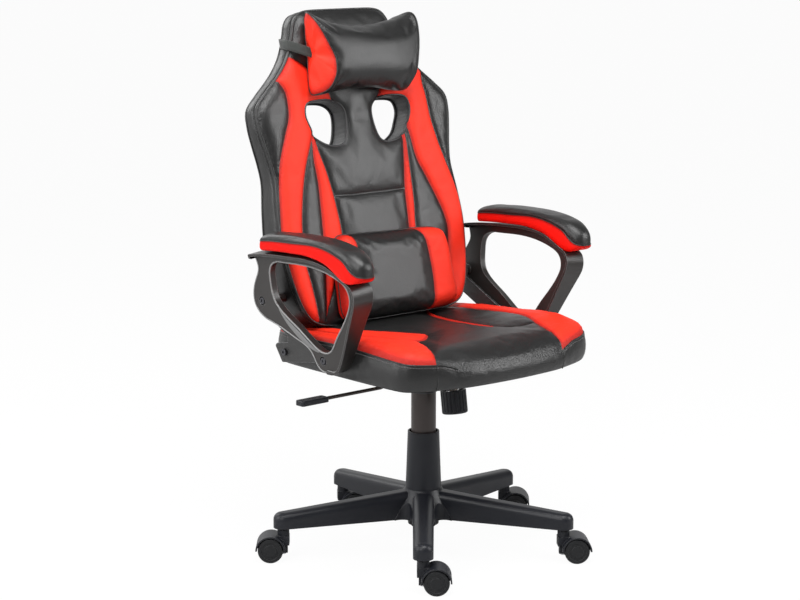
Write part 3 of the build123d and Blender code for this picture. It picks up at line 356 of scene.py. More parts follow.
finish = {
    "nylon_black": moulding("nylon_black", (0.0062, 0.0070, 0.0105), 0.34, 1.6, 0.25, 420.0, 0.0, 0.006, 0.05,
                            0.30),
    "wheel_black": moulding("wheel_black", (0.0055, 0.0060, 0.0070), 0.42, 1.0, 0.25, 420.0, 0.0, 0.006, 0.05,
                            0.30),
    "steel_dark": moulding("steel_dark", (0.032, 0.023, 0.021), 0.32, 0.6, 0.2, 700.0, 0.25, 0.01),
    "steel_textured": moulding("steel_textured", (0.014, 0.0135, 0.0135), 0.40, 1.4, 1.3, 1500.0, 0.0, 0.01,
                               0.42),
    "steel_bright": drawn_metal("steel_bright", (0.62, 0.62, 0.64), 0.22),
    "cylinder_bright": drawn_metal("cylinder_bright", (0.50, 0.50, 0.52), 0.12),
    "zinc_screws": drawn_metal("zinc_screws", (0.10, 0.10, 0.11), 0.30),
    "bush_plastic": moulding("bush_plastic", (0.030, 0.030, 0.032), 0.5),
    "arm_plastic": moulding("arm_plastic", (0.0120, 0.0095, 0.0085), 0.30, 1.6, 0.35, 380.0, 0.0, 0.008,
                            0.30),
    # Painted highlight: the arms' ridges and facet are their own dark plastic; this light grey stands for the
    # lamps' glint on them.
    "arm_ridge_painted_highlight": moulding("arm_ridge_painted_highlight", (0.20, 0.20, 0.20), 0.24, 1.0, 0.2, 380.0, 0.0, 0.05, 0.4),
    "arm_facet_painted_highlight": moulding("arm_facet_painted_highlight", (0.12, 0.12, 0.12), 0.24, 1.0, 0.2, 380.0, 0.0, 0.03, 0.3),
    "liner_plastic": moulding("liner_plastic", (0.012, 0.012, 0.013), 0.4, 0.5),
}
print(len(finish), "mouldings and metals")

# %% Plywood, elastic and dust cloth
def plywood():
    board = Finish("plywood")
    place = board.place()
    stretched = board.node("ShaderNodeMapping", {}, {"Vector": place, "Scale": (1.0, 12.0, 40.0)})
    rings = board.noise(9.0, 4.0, 1.2, stretched)
    colour = board.node("ShaderNodeValToRGB",
                        {"stops": [(0.35, (0.42, 0.27, 0.14, 1)), (0.65, (0.62, 0.44, 0.26, 1))]},
                        [rings])
    return board.surface(Base_Color=colour, Roughness=0.62 + rings * 0.15, Normal=board.bump(rings, 0.0002))


def woven(name, colour, threads, roughness):
    """Plain weave from two crossed waves."""
    cloth = Finish(name)
    warp = cloth.node("ShaderNodeTexWave", {"bands_direction": "X"},
                      {"Vector": cloth.place(), "Scale": threads}, 1)
    weft = cloth.node("ShaderNodeTexWave", {"bands_direction": "Z"},
                      {"Vector": cloth.place(), "Scale": threads}, 1)
    both = warp * 0.5 + weft * 0.5
    return cloth.surface(Base_Color=cloth.mixed(both, (*[c * 0.5 for c in colour], 1), (*colour, 1)),
                         Roughness=roughness, Normal=cloth.bump(both, 0.0003), Sheen_Weight=0.3)


finish["ply"] = plywood()
finish["elastic"] = woven("elastic", (0.020, 0.024, 0.021), 260.0, 0.8)
finish["cover_black"] = rear_skin
finish["dust_cloth"] = woven("dust_cloth", (0.018, 0.018, 0.018), 160.0, 0.9)
finish["thread_black"] = woven("thread_black", (0.016, 0.016, 0.016), 900.0, 0.7)
finish["thread_grey"] = woven("thread_grey", (0.11, 0.10, 0.10), 900.0, 0.6)
finish["cord_black"] = leatherette("cord_black", (0.010, 0.010, 0.010), (0.010, 0.010, 0.010), 0.28, 0.4)


def net_liner():
    """Moulded net on the inside wall of the eyes: small pits in rows, coloured near black as painted shade in
    them.
    """
    net = Finish("net_liner")
    pit = net.node("ShaderNodeTexVoronoi", {"feature": "F1"}, {"Vector": net.place(), "Scale": 420.0,
                                                               "Randomness": 0.12})
    # Painted shade: the middles of the pits are coloured near black.
    deep = net.node("ShaderNodeValToRGB",
                    {"stops": [(0.25, (0.004, 0.004, 0.004, 1)), (0.5, (0.03, 0.03, 0.031, 1))]},
                    [pit])
    return net.surface(Base_Color=deep, Roughness=0.5 - pit * 0.1, Normal=net.bump(pit, 0.0008))


finish["net_liner"] = net_liner()
print("finishes:", ", ".join(sorted(finish)))

# %% [markdown]
# ## Dressing the rigid frame
# Each rigid part of the frame already has its true shape, so it keeps it and only changes its finish. The
# record lists which parts share a finish.

# %% Finish every rigid part
def dress_frame():
    count = 0
    for entry in frame["record"]["subparts"]:
        part = nodes[entry["node"]]
        part.data.materials.clear()
        part.data.materials.append(finish.get(entry["material_slot"], finish["steel_dark"]))
        count += 1
    return count


print("dressed", dress_frame(), "parts")

# %% [markdown]
# ## Lines, distances and cuts
# A cover is cut flat, so it is drawn flat first: an outline, the openings in it, and the seams between its
# panels. A constrained Delaunay mesh keeps each of those lines as a chain of edges, and the panels are then
# the regions that a flood fill reaches without crossing a seam. A grid mesh with a painted pattern would
# be simpler, but its colours would not meet in a real fold.

# %% Even lines and distances
def even_line(points, gap, closed=False):
    """Smooth line through the points, with points spaced evenly along it."""
    p = np.array(points, float)
    p = np.vstack([p[-1:], p, p[:2]]) if closed else np.vstack([2 * p[0] - p[1], p, 2 * p[-1] - p[-2]])
    dense = []
    t = np.linspace(0, 1, 24, endpoint=False)[:, None]
    for a, b, c, d in zip(p[:-3], p[1:-2], p[2:-1], p[3:]):
        dense.append(0.5 * (2 * b + (c - a) * t + (2 * a - 5 * b + 4 * c - d) * t ** 2
                            + (3 * b - a - 3 * c + d) * t ** 3))
    dense = np.vstack(dense + [p[-2:-1]])
    run = np.r_[0, np.cumsum(np.linalg.norm(np.diff(dense, axis=0), axis=1))]
    count = max(2, int(round(run[-1] / gap)))
    where = np.linspace(0, run[-1], count + 1)
    even = np.stack([np.interp(where, run, dense[:, k]) for k in range(dense.shape[1])], 1)
    return even[:-1] if closed else even


def distance(points, lines):
    """Shortest distance from each point to any of the open lines."""
    best = np.full(len(points), 1e6)
    for line in lines:
        for a, b in zip(line[:-1], line[1:]):
            run = b - a
            share = np.clip((points - a) @ run / max(run @ run, 1e-9), 0, 1)
            best = np.minimum(best, np.linalg.norm(points - a - share[:, None] * run, axis=1))
    return best


def looped(line):
    return np.vstack([line, line[:1]])


def inside(points, loop):
    """True for each point inside the closed loop."""
    x, y = points[:, 0], points[:, 1]
    odd = np.zeros(len(points), bool)
    for (x0, y0), (x1, y1) in zip(loop, np.roll(loop, -1, axis=0)):
        if y0 == y1:
            continue
        crosses = ((y0 > y) != (y1 > y)) & (x < (x1 - x0) * (y - y0) / (y1 - y0) + x0)
        odd ^= crosses
    return odd


def area(loop):
    x, y = np.array(loop, float).T
    return 0.5 * float(np.sum(x * np.roll(y, -1) - np.roll(x, -1) * y))


def anticlockwise(loop):
    return loop if area(loop) > 0 else loop[::-1]


print("a 10 mm square has", round(area([(0, 0), (10, 0), (10, 10), (0, 10)])), "square mm")

# %% Cut a cover in panels
class Cut:
    """A flat cover in triangles. seams are open lines whose ends join the nearest line already there."""

    def __init__(self, outline, openings, seams, gap, rows=(2.4,), join=16.0):
        self.outline, self.openings = outline, openings
        known = np.vstack([outline] + openings)
        self.seams = []
        for seam in seams:
            line = even_line(seam, gap * 0.75)
            for end in (0, -1):
                far = np.linalg.norm(known - line[end], axis=1)
                if far.min() < join:
                    line[end] = known[far.argmin()]
            known = np.vstack([known, line])
            self.seams.append(line)
        points, chains = [], []
        for loop in [outline] + openings:
            first = sum(map(len, points))
            points.append(loop)
            chains.append([(first + i, first + (i + 1) % len(loop)) for i in range(len(loop))])
        fixed_loops = len(chains)
        for line in self.seams:
            first = sum(map(len, points))
            points.append(line)
            chains.append([(first + i, first + i + 1) for i in range(len(line) - 1)])
        drawn = np.vstack(points)
        lines = [looped(outline)] + [looped(o) for o in openings] + self.seams
        points.append(self.filling(lines, gap, rows))
        everything = np.vstack(points)
        edges = [pair for chain in chains for pair in chain]
        seam_first = sum(len(chain) for chain in chains[:fixed_loops])
        made = delaunay_2d_cdt([Vector(p) for p in everything], edges, [], 0, 1e-4)
        verts, out_edges, faces, from_verts, from_edges, _ = made
        self.flat = np.array([(v.x, v.y) for v in verts])
        into = {}
        for new, olds in enumerate(from_verts):
            for old in olds:
                into[old] = new
        extra = sum(1 for olds in from_verts if not olds)
        count = len(outline)
        self.rim = [into[i] for i in range(count)]
        self.holes = []
        for loop in openings:
            self.holes.append([into[count + i] for i in range(len(loop))])
            count += len(loop)
        tri = np.array([f for f in faces if len(f) == 3])
        middle = self.flat[tri].mean(1)
        keep = inside(middle, outline)
        for loop in openings:
            keep &= ~inside(middle, loop)
        tri = tri[keep]
        a, b, c = (self.flat[tri[:, k]] for k in range(3))
        turn = (b[:, 0] - a[:, 0]) * (c[:, 1] - a[:, 1]) - (b[:, 1] - a[:, 1]) * (c[:, 0] - a[:, 0])
        tri[turn < 0] = tri[turn < 0][:, ::-1]
        self.triangles = tri[np.abs(turn) > 1e-6]
        walls = {frozenset(e) for e, olds in zip(out_edges, from_edges) if any(o >= seam_first for o in olds)}
        self.fill_regions(walls)
        self.from_edge = distance(self.flat, lines[:1 + len(openings)])
        self.from_rim = distance(self.flat, lines[:1])
        self.from_seam = distance(self.flat, self.seams) if self.seams else np.full(len(self.flat), 99.0)
        print("cut:", len(self.flat), "points,", len(self.triangles), "triangles,", self.regions, "panels,",
              extra, "crossings, from", len(drawn), "drawn")

    def filling(self, lines, gap, rows):
        """A honeycomb of points, with a row close beside each seam."""
        low, high = self.outline.min(0), self.outline.max(0)
        grid = []
        for row, y in enumerate(np.arange(low[1], high[1], gap * 0.866)):
            x = np.arange(low[0] + (gap / 2) * (row % 2), high[0], gap)
            grid.append(np.stack([x, np.full(len(x), y)], 1))
        grid = np.vstack(grid)
        grid = grid[distance(grid, lines) > gap * 0.62]
        beside = []
        for line in lines:
            along = np.gradient(line, axis=0)
            along /= np.maximum(np.linalg.norm(along, axis=1), 1e-9)[:, None]
            normal = np.stack([-along[:, 1], along[:, 0]], 1)
            for row in rows:
                beside += [line + normal * row, line - normal * row]
        beside = np.vstack(beside)
        beside = beside[distance(beside, lines) > min(rows) * 0.85]
        far = np.ones(len(grid), bool)
        for p in beside:
            far &= np.abs(grid - p).max(1) > gap * 0.45
        both = np.vstack([beside, grid[far]])
        keep = inside(both, self.outline)
        for loop in self.openings:
            keep &= ~inside(both, loop)
        return both[keep]

    def fill_regions(self, walls):
        """Numbers the panels by walking from triangle to triangle without crossing a seam."""
        sides = {}
        for number, (a, b, c) in enumerate(self.triangles):
            for pair in ((a, b), (b, c), (c, a)):
                sides.setdefault(frozenset(pair), []).append(number)
        next_to = [[] for _ in self.triangles]
        for pair, two in sides.items():
            if len(two) == 2 and pair not in walls:
                next_to[two[0]].append(two[1])
                next_to[two[1]].append(two[0])
        self.region = np.full(len(self.triangles), -1)
        self.regions = 0
        for start in range(len(self.triangles)):
            if self.region[start] >= 0:
                continue
            stack = [start]
            self.region[start] = self.regions
            while stack:
                for other in next_to[stack.pop()]:
                    if self.region[other] < 0:
                        self.region[other] = self.regions
                        stack.append(other)
            self.regions += 1

    def painted(self, default, seeds):
        """Material number of each triangle: default, or what a seed point says for its whole panel."""
        middle = self.flat[self.triangles].mean(1)
        colour = np.full(len(self.triangles), default)
        for spot, number in seeds:
            nearest = np.linalg.norm(middle - np.array(spot, float), axis=1).argmin()
            colour[self.region == self.region[nearest]] = number
        return colour

    def red_share(self, colour, number):
        """How many of the triangles round each point have that material, from 0 to 1."""
        total, hit = np.zeros(len(self.flat)), np.zeros(len(self.flat))
        for k in range(3):
            np.add.at(total, self.triangles[:, k], 1)
            np.add.at(hit, self.triangles[:, k], colour == number)
        return hit / np.maximum(total, 1)


# %% Put a mesh in the scene
def add_piece(name, points, faces, materials, numbers=None, seam=None, body="seat", smooth=True):
    """A mesh from points in millimetres. Its seam numbers go with it for the leather's gathers."""
    mesh = bpy.data.meshes.new(name)
    mesh.from_pydata([tuple(p) for p in np.array(points, float) * MM], [],
                     [tuple(map(int, f)) for f in faces])
    for material in materials:
        mesh.materials.append(material)
    if numbers is not None:
        mesh.polygons.foreach_set("material_index", np.array(numbers, np.int32))
    mesh.polygons.foreach_set("use_smooth", np.full(len(mesh.polygons), smooth))
    away = mesh.attributes.new("seam", "FLOAT", "POINT")
    values = np.full(len(mesh.vertices), 40.0) if seam is None else np.array(seam, float)
    away.data.foreach_set("value", np.minimum(values, 40.0).astype(np.float32))
    mesh.update()
    piece = bpy.data.objects.new(name, mesh)
    bpy.context.scene.collection.objects.link(piece)
    if body is not None:
        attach(piece, body)
    return piece


# %% [markdown]
# ## Stuffing
# Foam under a tight cover swells between its seams and gathers next to them. The cover is simulated as
# cloth with air pressure behind it, a little more cloth than the foam needs, and its seams held where the
# foam's grooves hold them. It runs for a few steps only, and cap stops every point after a few millimetres,
# so the piece keeps its pattern and its size. The points that move most all end at that cap: it was picked,
# and it sets how full the piece looks.

# %% Stuff a cover
def merged(mesh, held):
    """Joins points that share a place, as where two cut parts meet, and gives back held for those left.

    Without this the solver meets edges of no length, and nothing moves."""
    mesh.attributes.new("held", "FLOAT", "POINT").data.foreach_set("value", np.array(held, np.float32))
    shape = bmesh.new()
    shape.from_mesh(mesh)
    bmesh.ops.remove_doubles(shape, verts=shape.verts, dist=0.02 * MM)
    shape.to_mesh(mesh)
    shape.free()
    held = np.zeros(len(mesh.vertices), np.float32)
    mesh.attributes["held"].data.foreach_get("value", held)
    mesh.attributes.remove(mesh.attributes["held"])
    return held


def stuffed(piece, held, pressure, cap, slack=0.02, steps=20, stiffness=12.0, weight=0.0):
    """Swells a finished cover, or lets a cloth sag where weight is 1. held is 1 at points that stay and 0 at
    free ones; cap is in millimetres."""
    mesh = piece.data
    held = merged(mesh, held)
    group = piece.vertex_groups.new(name="held")
    for level in (0.15, 0.3, 0.6, 1.0):
        chosen = [int(i) for i in np.where(np.abs(held - level) < 0.01)[0]]
        if chosen:
            group.add(chosen, level, "REPLACE")
    before = np.zeros(len(mesh.vertices) * 3)
    mesh.vertices.foreach_get("co", before)
    cloth = piece.modifiers.new("cloth", "CLOTH")
    cloth.settings.quality = 4
    cloth.settings.mass = 0.4
    cloth.settings.tension_stiffness = stiffness
    cloth.settings.compression_stiffness = stiffness
    cloth.settings.shear_stiffness = stiffness / 2
    cloth.settings.bending_stiffness = 0.3
    cloth.settings.vertex_group_mass = "held"
    cloth.settings.pin_stiffness = 1.0
    cloth.settings.shrink_min = -slack
    cloth.settings.use_pressure = True
    cloth.settings.uniform_pressure_force = pressure
    cloth.settings.effector_weights.gravity = weight
    cloth.collision_settings.use_collision = False
    cloth.point_cache.frame_start, cloth.point_cache.frame_end = 1, steps
    for step in range(1, steps + 1):
        bpy.context.scene.frame_set(step)
    graph = bpy.context.evaluated_depsgraph_get()
    swollen = piece.evaluated_get(graph)
    after = np.zeros(len(mesh.vertices) * 3)
    swollen.data.vertices.foreach_get("co", after)
    piece.modifiers.remove(cloth)
    bpy.context.scene.frame_set(1)
    move = (after - before).reshape(-1, 3)
    size = np.linalg.norm(move, axis=1)
    scale = np.minimum(1.0, cap * MM / np.maximum(size, 1e-9))
    mesh.vertices.foreach_set("co", (before.reshape(-1, 3) + move * scale[:, None]).ravel())
    mesh.update()
    piece.vertex_groups.clear()
    print(piece.name, "swelled by up to", round(float((size * scale).max()) / MM, 1), "mm, on average",
          round(float((size * scale).mean()) / MM, 2), "mm")
    return piece


def refined(piece, levels=1):
    """Subdivides the finished cover once, for a smooth outline."""
    smooth = piece.modifiers.new("refine", "SUBSURF")
    smooth.levels = smooth.render_levels = levels
    smooth.boundary_smooth = "PRESERVE_CORNERS"
    return piece


print("cutting table ready")

# %% [markdown]
# ## The back
# The back is one upholstered board: a front cover of seven leatherette panels, a side band between two
# corded edges, a plain rear cover, and two "eyes" lined with moulded net. It leans 14.5 degrees, so it is
# drawn in its own plane: u across, v up the back from the seat, n ahead of the cord line.

# %% The back's own plane
LEAN = np.radians(14.5)
BACK_FOOT = np.array([0.0, 104.0, 470.0])
BACK_UP = np.array([0.0, np.sin(LEAN), np.cos(LEAN)])
BACK_AHEAD = np.array([0.0, -np.cos(LEAN), np.sin(LEAN)])


def on_back(u, v, n):
    """Points in the chair from places on the back, in millimetres."""
    u, v, n = np.broadcast_arrays(np.asarray(u, float), np.asarray(v, float), np.asarray(n, float))
    return BACK_FOOT + np.stack([u, 0 * u, 0 * u], -1) + v[..., None] * BACK_UP + n[..., None] * BACK_AHEAD


def rear_n(v):
    """Depth of the rear cover behind the cord line."""
    return np.interp(v, [-30, 170, 410, 640], [-58, -58, -36, -34])


def mirror_line(points):
    return [(-u, v) for u, v in points]


BACK_SIDE = [(120, -8), (158, -6), (193, 5), (213, 30), (226, 70), (235, 120), (240, 175), (237, 230),
             (231, 288),
             (235, 325), (243, 362), (250, 402), (247, 434), (221, 461), (194, 484), (170, 507), (151, 531),
             (138, 555), (128, 580), (121, 600), (108, 615), (86, 621), (45, 622)]
back_outline = anticlockwise(even_line(BACK_SIDE + [(0, 622)] + mirror_line(BACK_SIDE)[::-1] + [(0, -8)], 7.0,
                                       True))
EYE_SHAPE = [(100, 440), (130, 434), (138, 412), (131, 388), (117, 363), (90, 348), (58, 346), (42, 360),
             (34, 396), (38, 422), (60, 437)]
eye_right = anticlockwise(even_line(EYE_SHAPE, 6.0, True))
eye_left = anticlockwise(eye_right * (-1, 1))
print("back outline", len(back_outline), "points round", round(area(back_outline) / 1e4), "square dm")

# %% Seams of the back, on the sitter's right and left
LEFT_SEAMS = [
    [(-190, 487), (-177, 462), (-176, 428), (-181, 404), (-197, 371), (-217, 325), (-229, 270), (-240, 186)],
    [(-150, 532), (-112, 505), (-78, 472), (-60, 437)],
    [(-124, 376), (-136, 352), (-159, 304), (-179, 243), (-192, 183), (-196, 123), (-191, 79), (-186, 29),
     (-184, 0)],
    [(-130, 362), (-134, 320), (-133, 272), (-142, 166), (-150, 104), (-158, 55), (-165, 16), (-168, -5)],
    [(-121, 370), (-118, 340), (-107, 296), (-99, 247), (-94, 190), (-97, 150), (-122, 100), (-140, 62),
     (-158, 30),
     (-166, 10)],
]
RIGHT_SEAMS = [
    [(190, 487), (186, 460), (189, 434), (193, 380), (205, 326), (222, 275), (237, 232)],
    [(150, 532), (112, 505), (78, 472), (60, 437)],
    [(126, 378), (134, 311), (152, 268), (168, 230), (183, 191), (189, 155), (182, 118), (172, 80), (166, 40),
     (165, -5)],
    [(117, 363), (115, 330), (113, 292), (109, 219), (102, 162), (108, 110), (128, 60), (148, 20), (150, -6)],
    [(110, 358), (103, 320), (98, 290), (90, 246), (86, 190), (84, 150), (92, 105), (112, 60), (138, 22),
     (146, 8)],
]
CENTRE_SEAM = [(-99, 247), (-50, 245), (0, 245), (50, 245), (90, 246)]
back_cut = Cut(back_outline, [eye_right, eye_left], LEFT_SEAMS + RIGHT_SEAMS + [CENTRE_SEAM], 7.5)
back_colour = back_cut.painted(0, [((-205, 300), 1), ((-150, 480), 1), ((-113, 255), 1), ((150, 480), 1),
                                   ((205, 240), 1), ((101, 255), 1)])
print("red share of the front", round(float((back_colour == 1).mean()), 2))

# %% [markdown]
# The cover is built as one closed skin: the front, then rings of points down the side band, then the rear,
# and a wall through each eye. The front rises from the cord line over 16 mm of rounding, dips 3 mm at every
# seam, and its red side panels stand a little prouder, as their foam is thicker.

# %% Build the back's cover
BAND_RINGS = [(3.0, 1.6), (6.0, 1.4), (8.5, 0.2), (11.0, 1.6), (16.0, 2.6), (0.55, 3.0), (0.8, 2.4),
              (0.94, 1.2)]


def outward(loop):
    """Unit normals that point out of an anticlockwise loop."""
    along = np.roll(loop, -1, axis=0) - np.roll(loop, 1, axis=0)
    along /= np.linalg.norm(along, axis=1)[:, None]
    return np.stack([along[:, 1], -along[:, 0]], 1)


def front_height(cut, colour):
    edge = 12.5 * (1 - np.exp(-cut.from_rim / 9.0))
    eye = 1 - 0.45 * np.exp(-np.maximum(cut.from_edge, 0) / 7.0) * (cut.from_edge < cut.from_rim)
    valley = 3.6 * np.exp(-(cut.from_seam / 4.2) ** 1.3) + 2.2 * np.exp(-cut.from_seam / 15.0)
    return edge * eye - valley * np.clip(cut.from_rim / 14.0, 0, 1) + 1.6 * cut.red_share(colour,
                                                                                          1) * np.clip(
        cut.from_seam / 12.0, 0, 1)


def back_skin():
    front = back_cut.flat
    height = front_height(back_cut, back_colour)
    height[back_cut.rim] = 0.0
    points = [on_back(front[:, 0], front[:, 1], height)]
    seam = [np.minimum(back_cut.from_seam, back_cut.from_rim)]
    faces, colour = [tuple(t) for t in back_cut.triangles], list(back_colour)
    free = [np.clip((np.minimum(back_cut.from_seam, back_cut.from_edge) - 1.0) / 6.0, 0, 1)]
    count, ring = len(front), list(back_cut.rim)
    loop, normal = back_cut.flat[back_cut.rim], outward(back_cut.flat[back_cut.rim])
    depth = rear_n(loop[:, 1])
    for place, bulge in BAND_RINGS:
        n = -np.full(len(loop), place) if place > 1 else depth * place
        side = loop + normal * bulge
        points.append(on_back(side[:, 0], side[:, 1], n))
        seam.append(np.abs(np.abs(n) - 8.5) if place > 1 else np.minimum(np.abs(n) - 8.5, np.abs(depth - n)))
        free.append(np.full(len(loop), 1.0 if bulge > 2 else 0.0))
        new = list(range(count, count + len(loop)))
        for i in range(len(loop)):
            j = (i + 1) % len(loop)
            faces.append((ring[i], new[i], new[j], ring[j]))
            colour.append(0)
        ring, count = new, count + len(loop)
    rear_cut = Cut(back_outline, [eye_right, eye_left], [], 13.0, rows=(5.0,))
    rear = rear_cut.flat
    dome = rear_n(rear[:, 1]) - 3.0 * (1 - np.exp(-rear_cut.from_edge / 18.0))
    points.append(on_back(rear[:, 0], rear[:, 1], dome))
    seam.append(rear_cut.from_rim)
    free.append(np.zeros(len(rear)))
    faces += [tuple(t[::-1] + count) for t in rear_cut.triangles]
    colour += [2] * len(rear_cut.triangles)
    new = [i + count for i in rear_cut.rim]
    for i in range(len(loop)):
        j = (i + 1) % len(loop)
        faces.append((ring[i], new[i], new[j], ring[j]))
        colour.append(0)
    for hole_front, hole_rear in zip(back_cut.holes, rear_cut.holes):
        ring = list(hole_front)
        edge = back_cut.flat[hole_front]
        steps = [0.2, 0.4, 0.6, 0.8]
        for step in steps:
            top = height[hole_front]
            n = top + (rear_n(edge[:, 1]) - top) * step
            points.append(on_back(edge[:, 0], edge[:, 1], n))
            seam.append(np.full(len(edge), 40.0))
            free.append(np.zeros(len(edge)))
        base = sum(len(p) for p in points) - len(steps) * len(edge)
        chain = [list(range(base + k * len(edge), base + (k + 1) * len(edge))) for k in range(len(steps))]
        chain.append([i + count for i in hole_rear])
        for new in chain:
            for i in range(len(edge)):
                j = (i + 1) % len(edge)
                faces.append((ring[i], ring[j], new[j], new[i]))
                colour.append(3)
            ring = new
    return np.vstack(points), faces, colour, np.concatenate(seam), np.concatenate(free)


points, faces, colour, seam, free = back_skin()
back_cover = add_piece("back_upholstery", points, faces,
                       [black_skin, red_skin, rear_skin, finish["net_liner"]],
                       colour, seam)
held = np.where(free > 0.99, 0.0, np.where(free > 0.6, 0.3, np.where(free > 0.25, 0.6, 1.0)))
stuffed(back_cover, held, 0.6, 2.0, 0.003)
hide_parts("back_cushion", "back_cover", "eye_liner_left", "eye_liner_right")
print("back cover:", len(points), "points,", len(faces), "faces")

# %% [markdown]
# ## Corded edges
# A thin welt closes the edge of the board: a strip folded round a cord. Geometry Nodes sweep one small
# circle along each edge line, which keeps the cord's thickness a named input, and the result is turned into
# a plain mesh before it rides on the seat.

# %% Cord along a line, with Geometry Nodes
def new_tree(name, inputs):
    """Geometry tree with named inputs after the geometry."""
    tree = bpy.data.node_groups.new(name, "GeometryNodeTree")
    tree.interface.new_socket("Geometry", in_out="INPUT", socket_type="NodeSocketGeometry")
    for label, kind in inputs:
        tree.interface.new_socket(label, in_out="INPUT", socket_type=kind)
    tree.interface.new_socket("Geometry", in_out="OUTPUT", socket_type="NodeSocketGeometry")
    return tree


def wire(tree, kind, settings=None, links=None, values=None):
    """Adds a node, sets it, links what comes in and fills in the rest."""
    made = tree.nodes.new(kind)
    for key, value in (settings or {}).items():
        setattr(made, key, value)
    for key, source in (links or {}).items():
        tree.links.new(source, made.inputs[key])
    for key, value in (values or {}).items():
        made.inputs[key].default_value = value
    return made


def cord_tree():
    tree = new_tree("welt_cord", [("Thickness", "NodeSocketFloat"), ("Sides", "NodeSocketInt"),
                                  ("Finish", "NodeSocketMaterial")])
    start = tree.nodes.new("NodeGroupInput").outputs
    line = wire(tree, "GeometryNodeMeshToCurve", links={"Mesh": start["Geometry"]})
    half = wire(tree, "ShaderNodeMath", {"operation": "MULTIPLY"}, {0: start["Thickness"]}, {1: 0.5})
    section = wire(tree, "GeometryNodeCurvePrimitiveCircle", {}, {"Resolution": start["Sides"],
                                                                  "Radius": half.outputs[0]})
    swept = wire(tree, "GeometryNodeCurveToMesh", {},
                 {"Curve": line.outputs[0], "Profile Curve": section.outputs[0]},
                 {"Fill Caps": True})
    smooth = wire(tree, "GeometryNodeSetShadeSmooth", {}, {"Geometry": swept.outputs[0]})
    painted = wire(tree, "GeometryNodeSetMaterial", {},
                   {"Geometry": smooth.outputs[0], "Material": start["Finish"]})
    end = tree.nodes.new("NodeGroupOutput")
    tree.links.new(painted.outputs[0], end.inputs[0])
    return tree


def stitch_tree():
    """Short threads along a line, each a small six-sided rod."""
    tree = new_tree("stitches", [("Spacing", "NodeSocketFloat"), ("Length", "NodeSocketFloat"),
                                 ("Thread", "NodeSocketFloat"), ("Finish", "NodeSocketMaterial")])
    start = tree.nodes.new("NodeGroupInput").outputs
    line = wire(tree, "GeometryNodeMeshToCurve", links={"Mesh": start["Geometry"]})
    steps = wire(tree, "GeometryNodeResampleCurve", {"mode": "LENGTH"},
                 {"Curve": line.outputs[0], "Length": start["Spacing"]})
    half = wire(tree, "ShaderNodeMath", {"operation": "MULTIPLY"}, {0: start["Length"]}, {1: 0.5})
    low = wire(tree, "ShaderNodeMath", {"operation": "MULTIPLY"}, {0: start["Length"]}, {1: -0.5})
    here = wire(tree, "ShaderNodeCombineXYZ", {}, {2: low.outputs[0]})
    there = wire(tree, "ShaderNodeCombineXYZ", {}, {2: half.outputs[0]})
    thread = wire(tree, "GeometryNodeCurvePrimitiveLine", {},
                  {"Start": here.outputs[0], "End": there.outputs[0]})
    parts = wire(tree, "GeometryNodeResampleCurve", {}, {"Curve": thread.outputs[0]}, {"Count": 4})
    radius = wire(tree, "ShaderNodeMath", {"operation": "MULTIPLY"}, {0: start["Thread"]}, {1: 0.5})
    section = wire(tree, "GeometryNodeCurvePrimitiveCircle", {}, {"Radius": radius.outputs[0]},
                   {"Resolution": 6})
    solid = wire(tree, "GeometryNodeCurveToMesh", {},
                 {"Curve": parts.outputs[0], "Profile Curve": section.outputs[0]},
                 {"Fill Caps": True})
    tangent = wire(tree, "GeometryNodeInputTangent")
    turn = wire(tree, "FunctionNodeAlignRotationToVector", {"axis": "Z"}, {"Vector": tangent.outputs[0]})
    dots = wire(tree, "GeometryNodeInstanceOnPoints", {},
                {"Points": steps.outputs[0], "Instance": solid.outputs[0],
                                                           "Rotation": turn.outputs[0]})
    real = wire(tree, "GeometryNodeRealizeInstances", {}, {"Geometry": dots.outputs[0]})
    smooth = wire(tree, "GeometryNodeSetShadeSmooth", {}, {"Geometry": real.outputs[0]})
    painted = wire(tree, "GeometryNodeSetMaterial", {},
                   {"Geometry": smooth.outputs[0], "Material": start["Finish"]})
    end = tree.nodes.new("NodeGroupOutput")
    tree.links.new(painted.outputs[0], end.inputs[0])
    return tree


CORD, STITCHES = cord_tree(), stitch_tree()


def grown_on(name, lines, tree, values, body="seat", closed=False):
    """Runs a geometry tree over lines, in millimetres, and keeps the result as a plain mesh."""
    points, edges = [], []
    for line in lines:
        first = len(points)
        points += [tuple(p) for p in np.array(line, float) * MM]
        edges += [(first + i, first + i + 1) for i in range(len(line) - 1)]
        if closed:
            edges.append((first + len(line) - 1, first))
    guide = bpy.data.meshes.new(name + "_guide")
    guide.from_pydata(points, edges, [])
    maker = bpy.data.objects.new(name + "_guide", guide)
    bpy.context.scene.collection.objects.link(maker)
    grow = maker.modifiers.new("grow", "NODES")
    grow.node_group = tree
    sockets = {s.name: s.identifier for s in tree.interface.items_tree if s.in_out == "INPUT"}
    for label, value in values.items():
        grow[sockets[label]] = value
    graph = bpy.context.evaluated_depsgraph_get()
    mesh = bpy.data.meshes.new_from_object(maker.evaluated_get(graph), preserve_all_data_layers=True,
                                           depsgraph=graph)
    maker.modifiers.remove(grow)
    bpy.data.objects.remove(maker)
    mesh.name = name
    away = mesh.attributes.get("seam") or mesh.attributes.new("seam", "FLOAT", "POINT")
    away.data.foreach_set("value", np.full(len(mesh.vertices), 40.0, np.float32))
    piece = bpy.data.objects.new(name, mesh)
    bpy.context.scene.collection.objects.link(piece)
    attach(piece, body)
    print(name, len(mesh.polygons), "faces")
    return piece


def cord_along(name, lines, thick, material=None, closed=True, body="seat"):
    return grown_on(name, lines, CORD, {"Thickness": thick * MM, "Sides": 10,
                                        "Finish": material or finish["cord_black"]}, body,
                                        closed)


def stitch_along(name, lines, spacing=5.2, length=3.6, thread=0.8, body="seat", colour="thread_black"):
    return grown_on(name, lines, STITCHES,
                    {"Spacing": spacing * MM, "Length": length * MM, "Thread": thread * MM,
                                            "Finish": finish[colour]}, body)


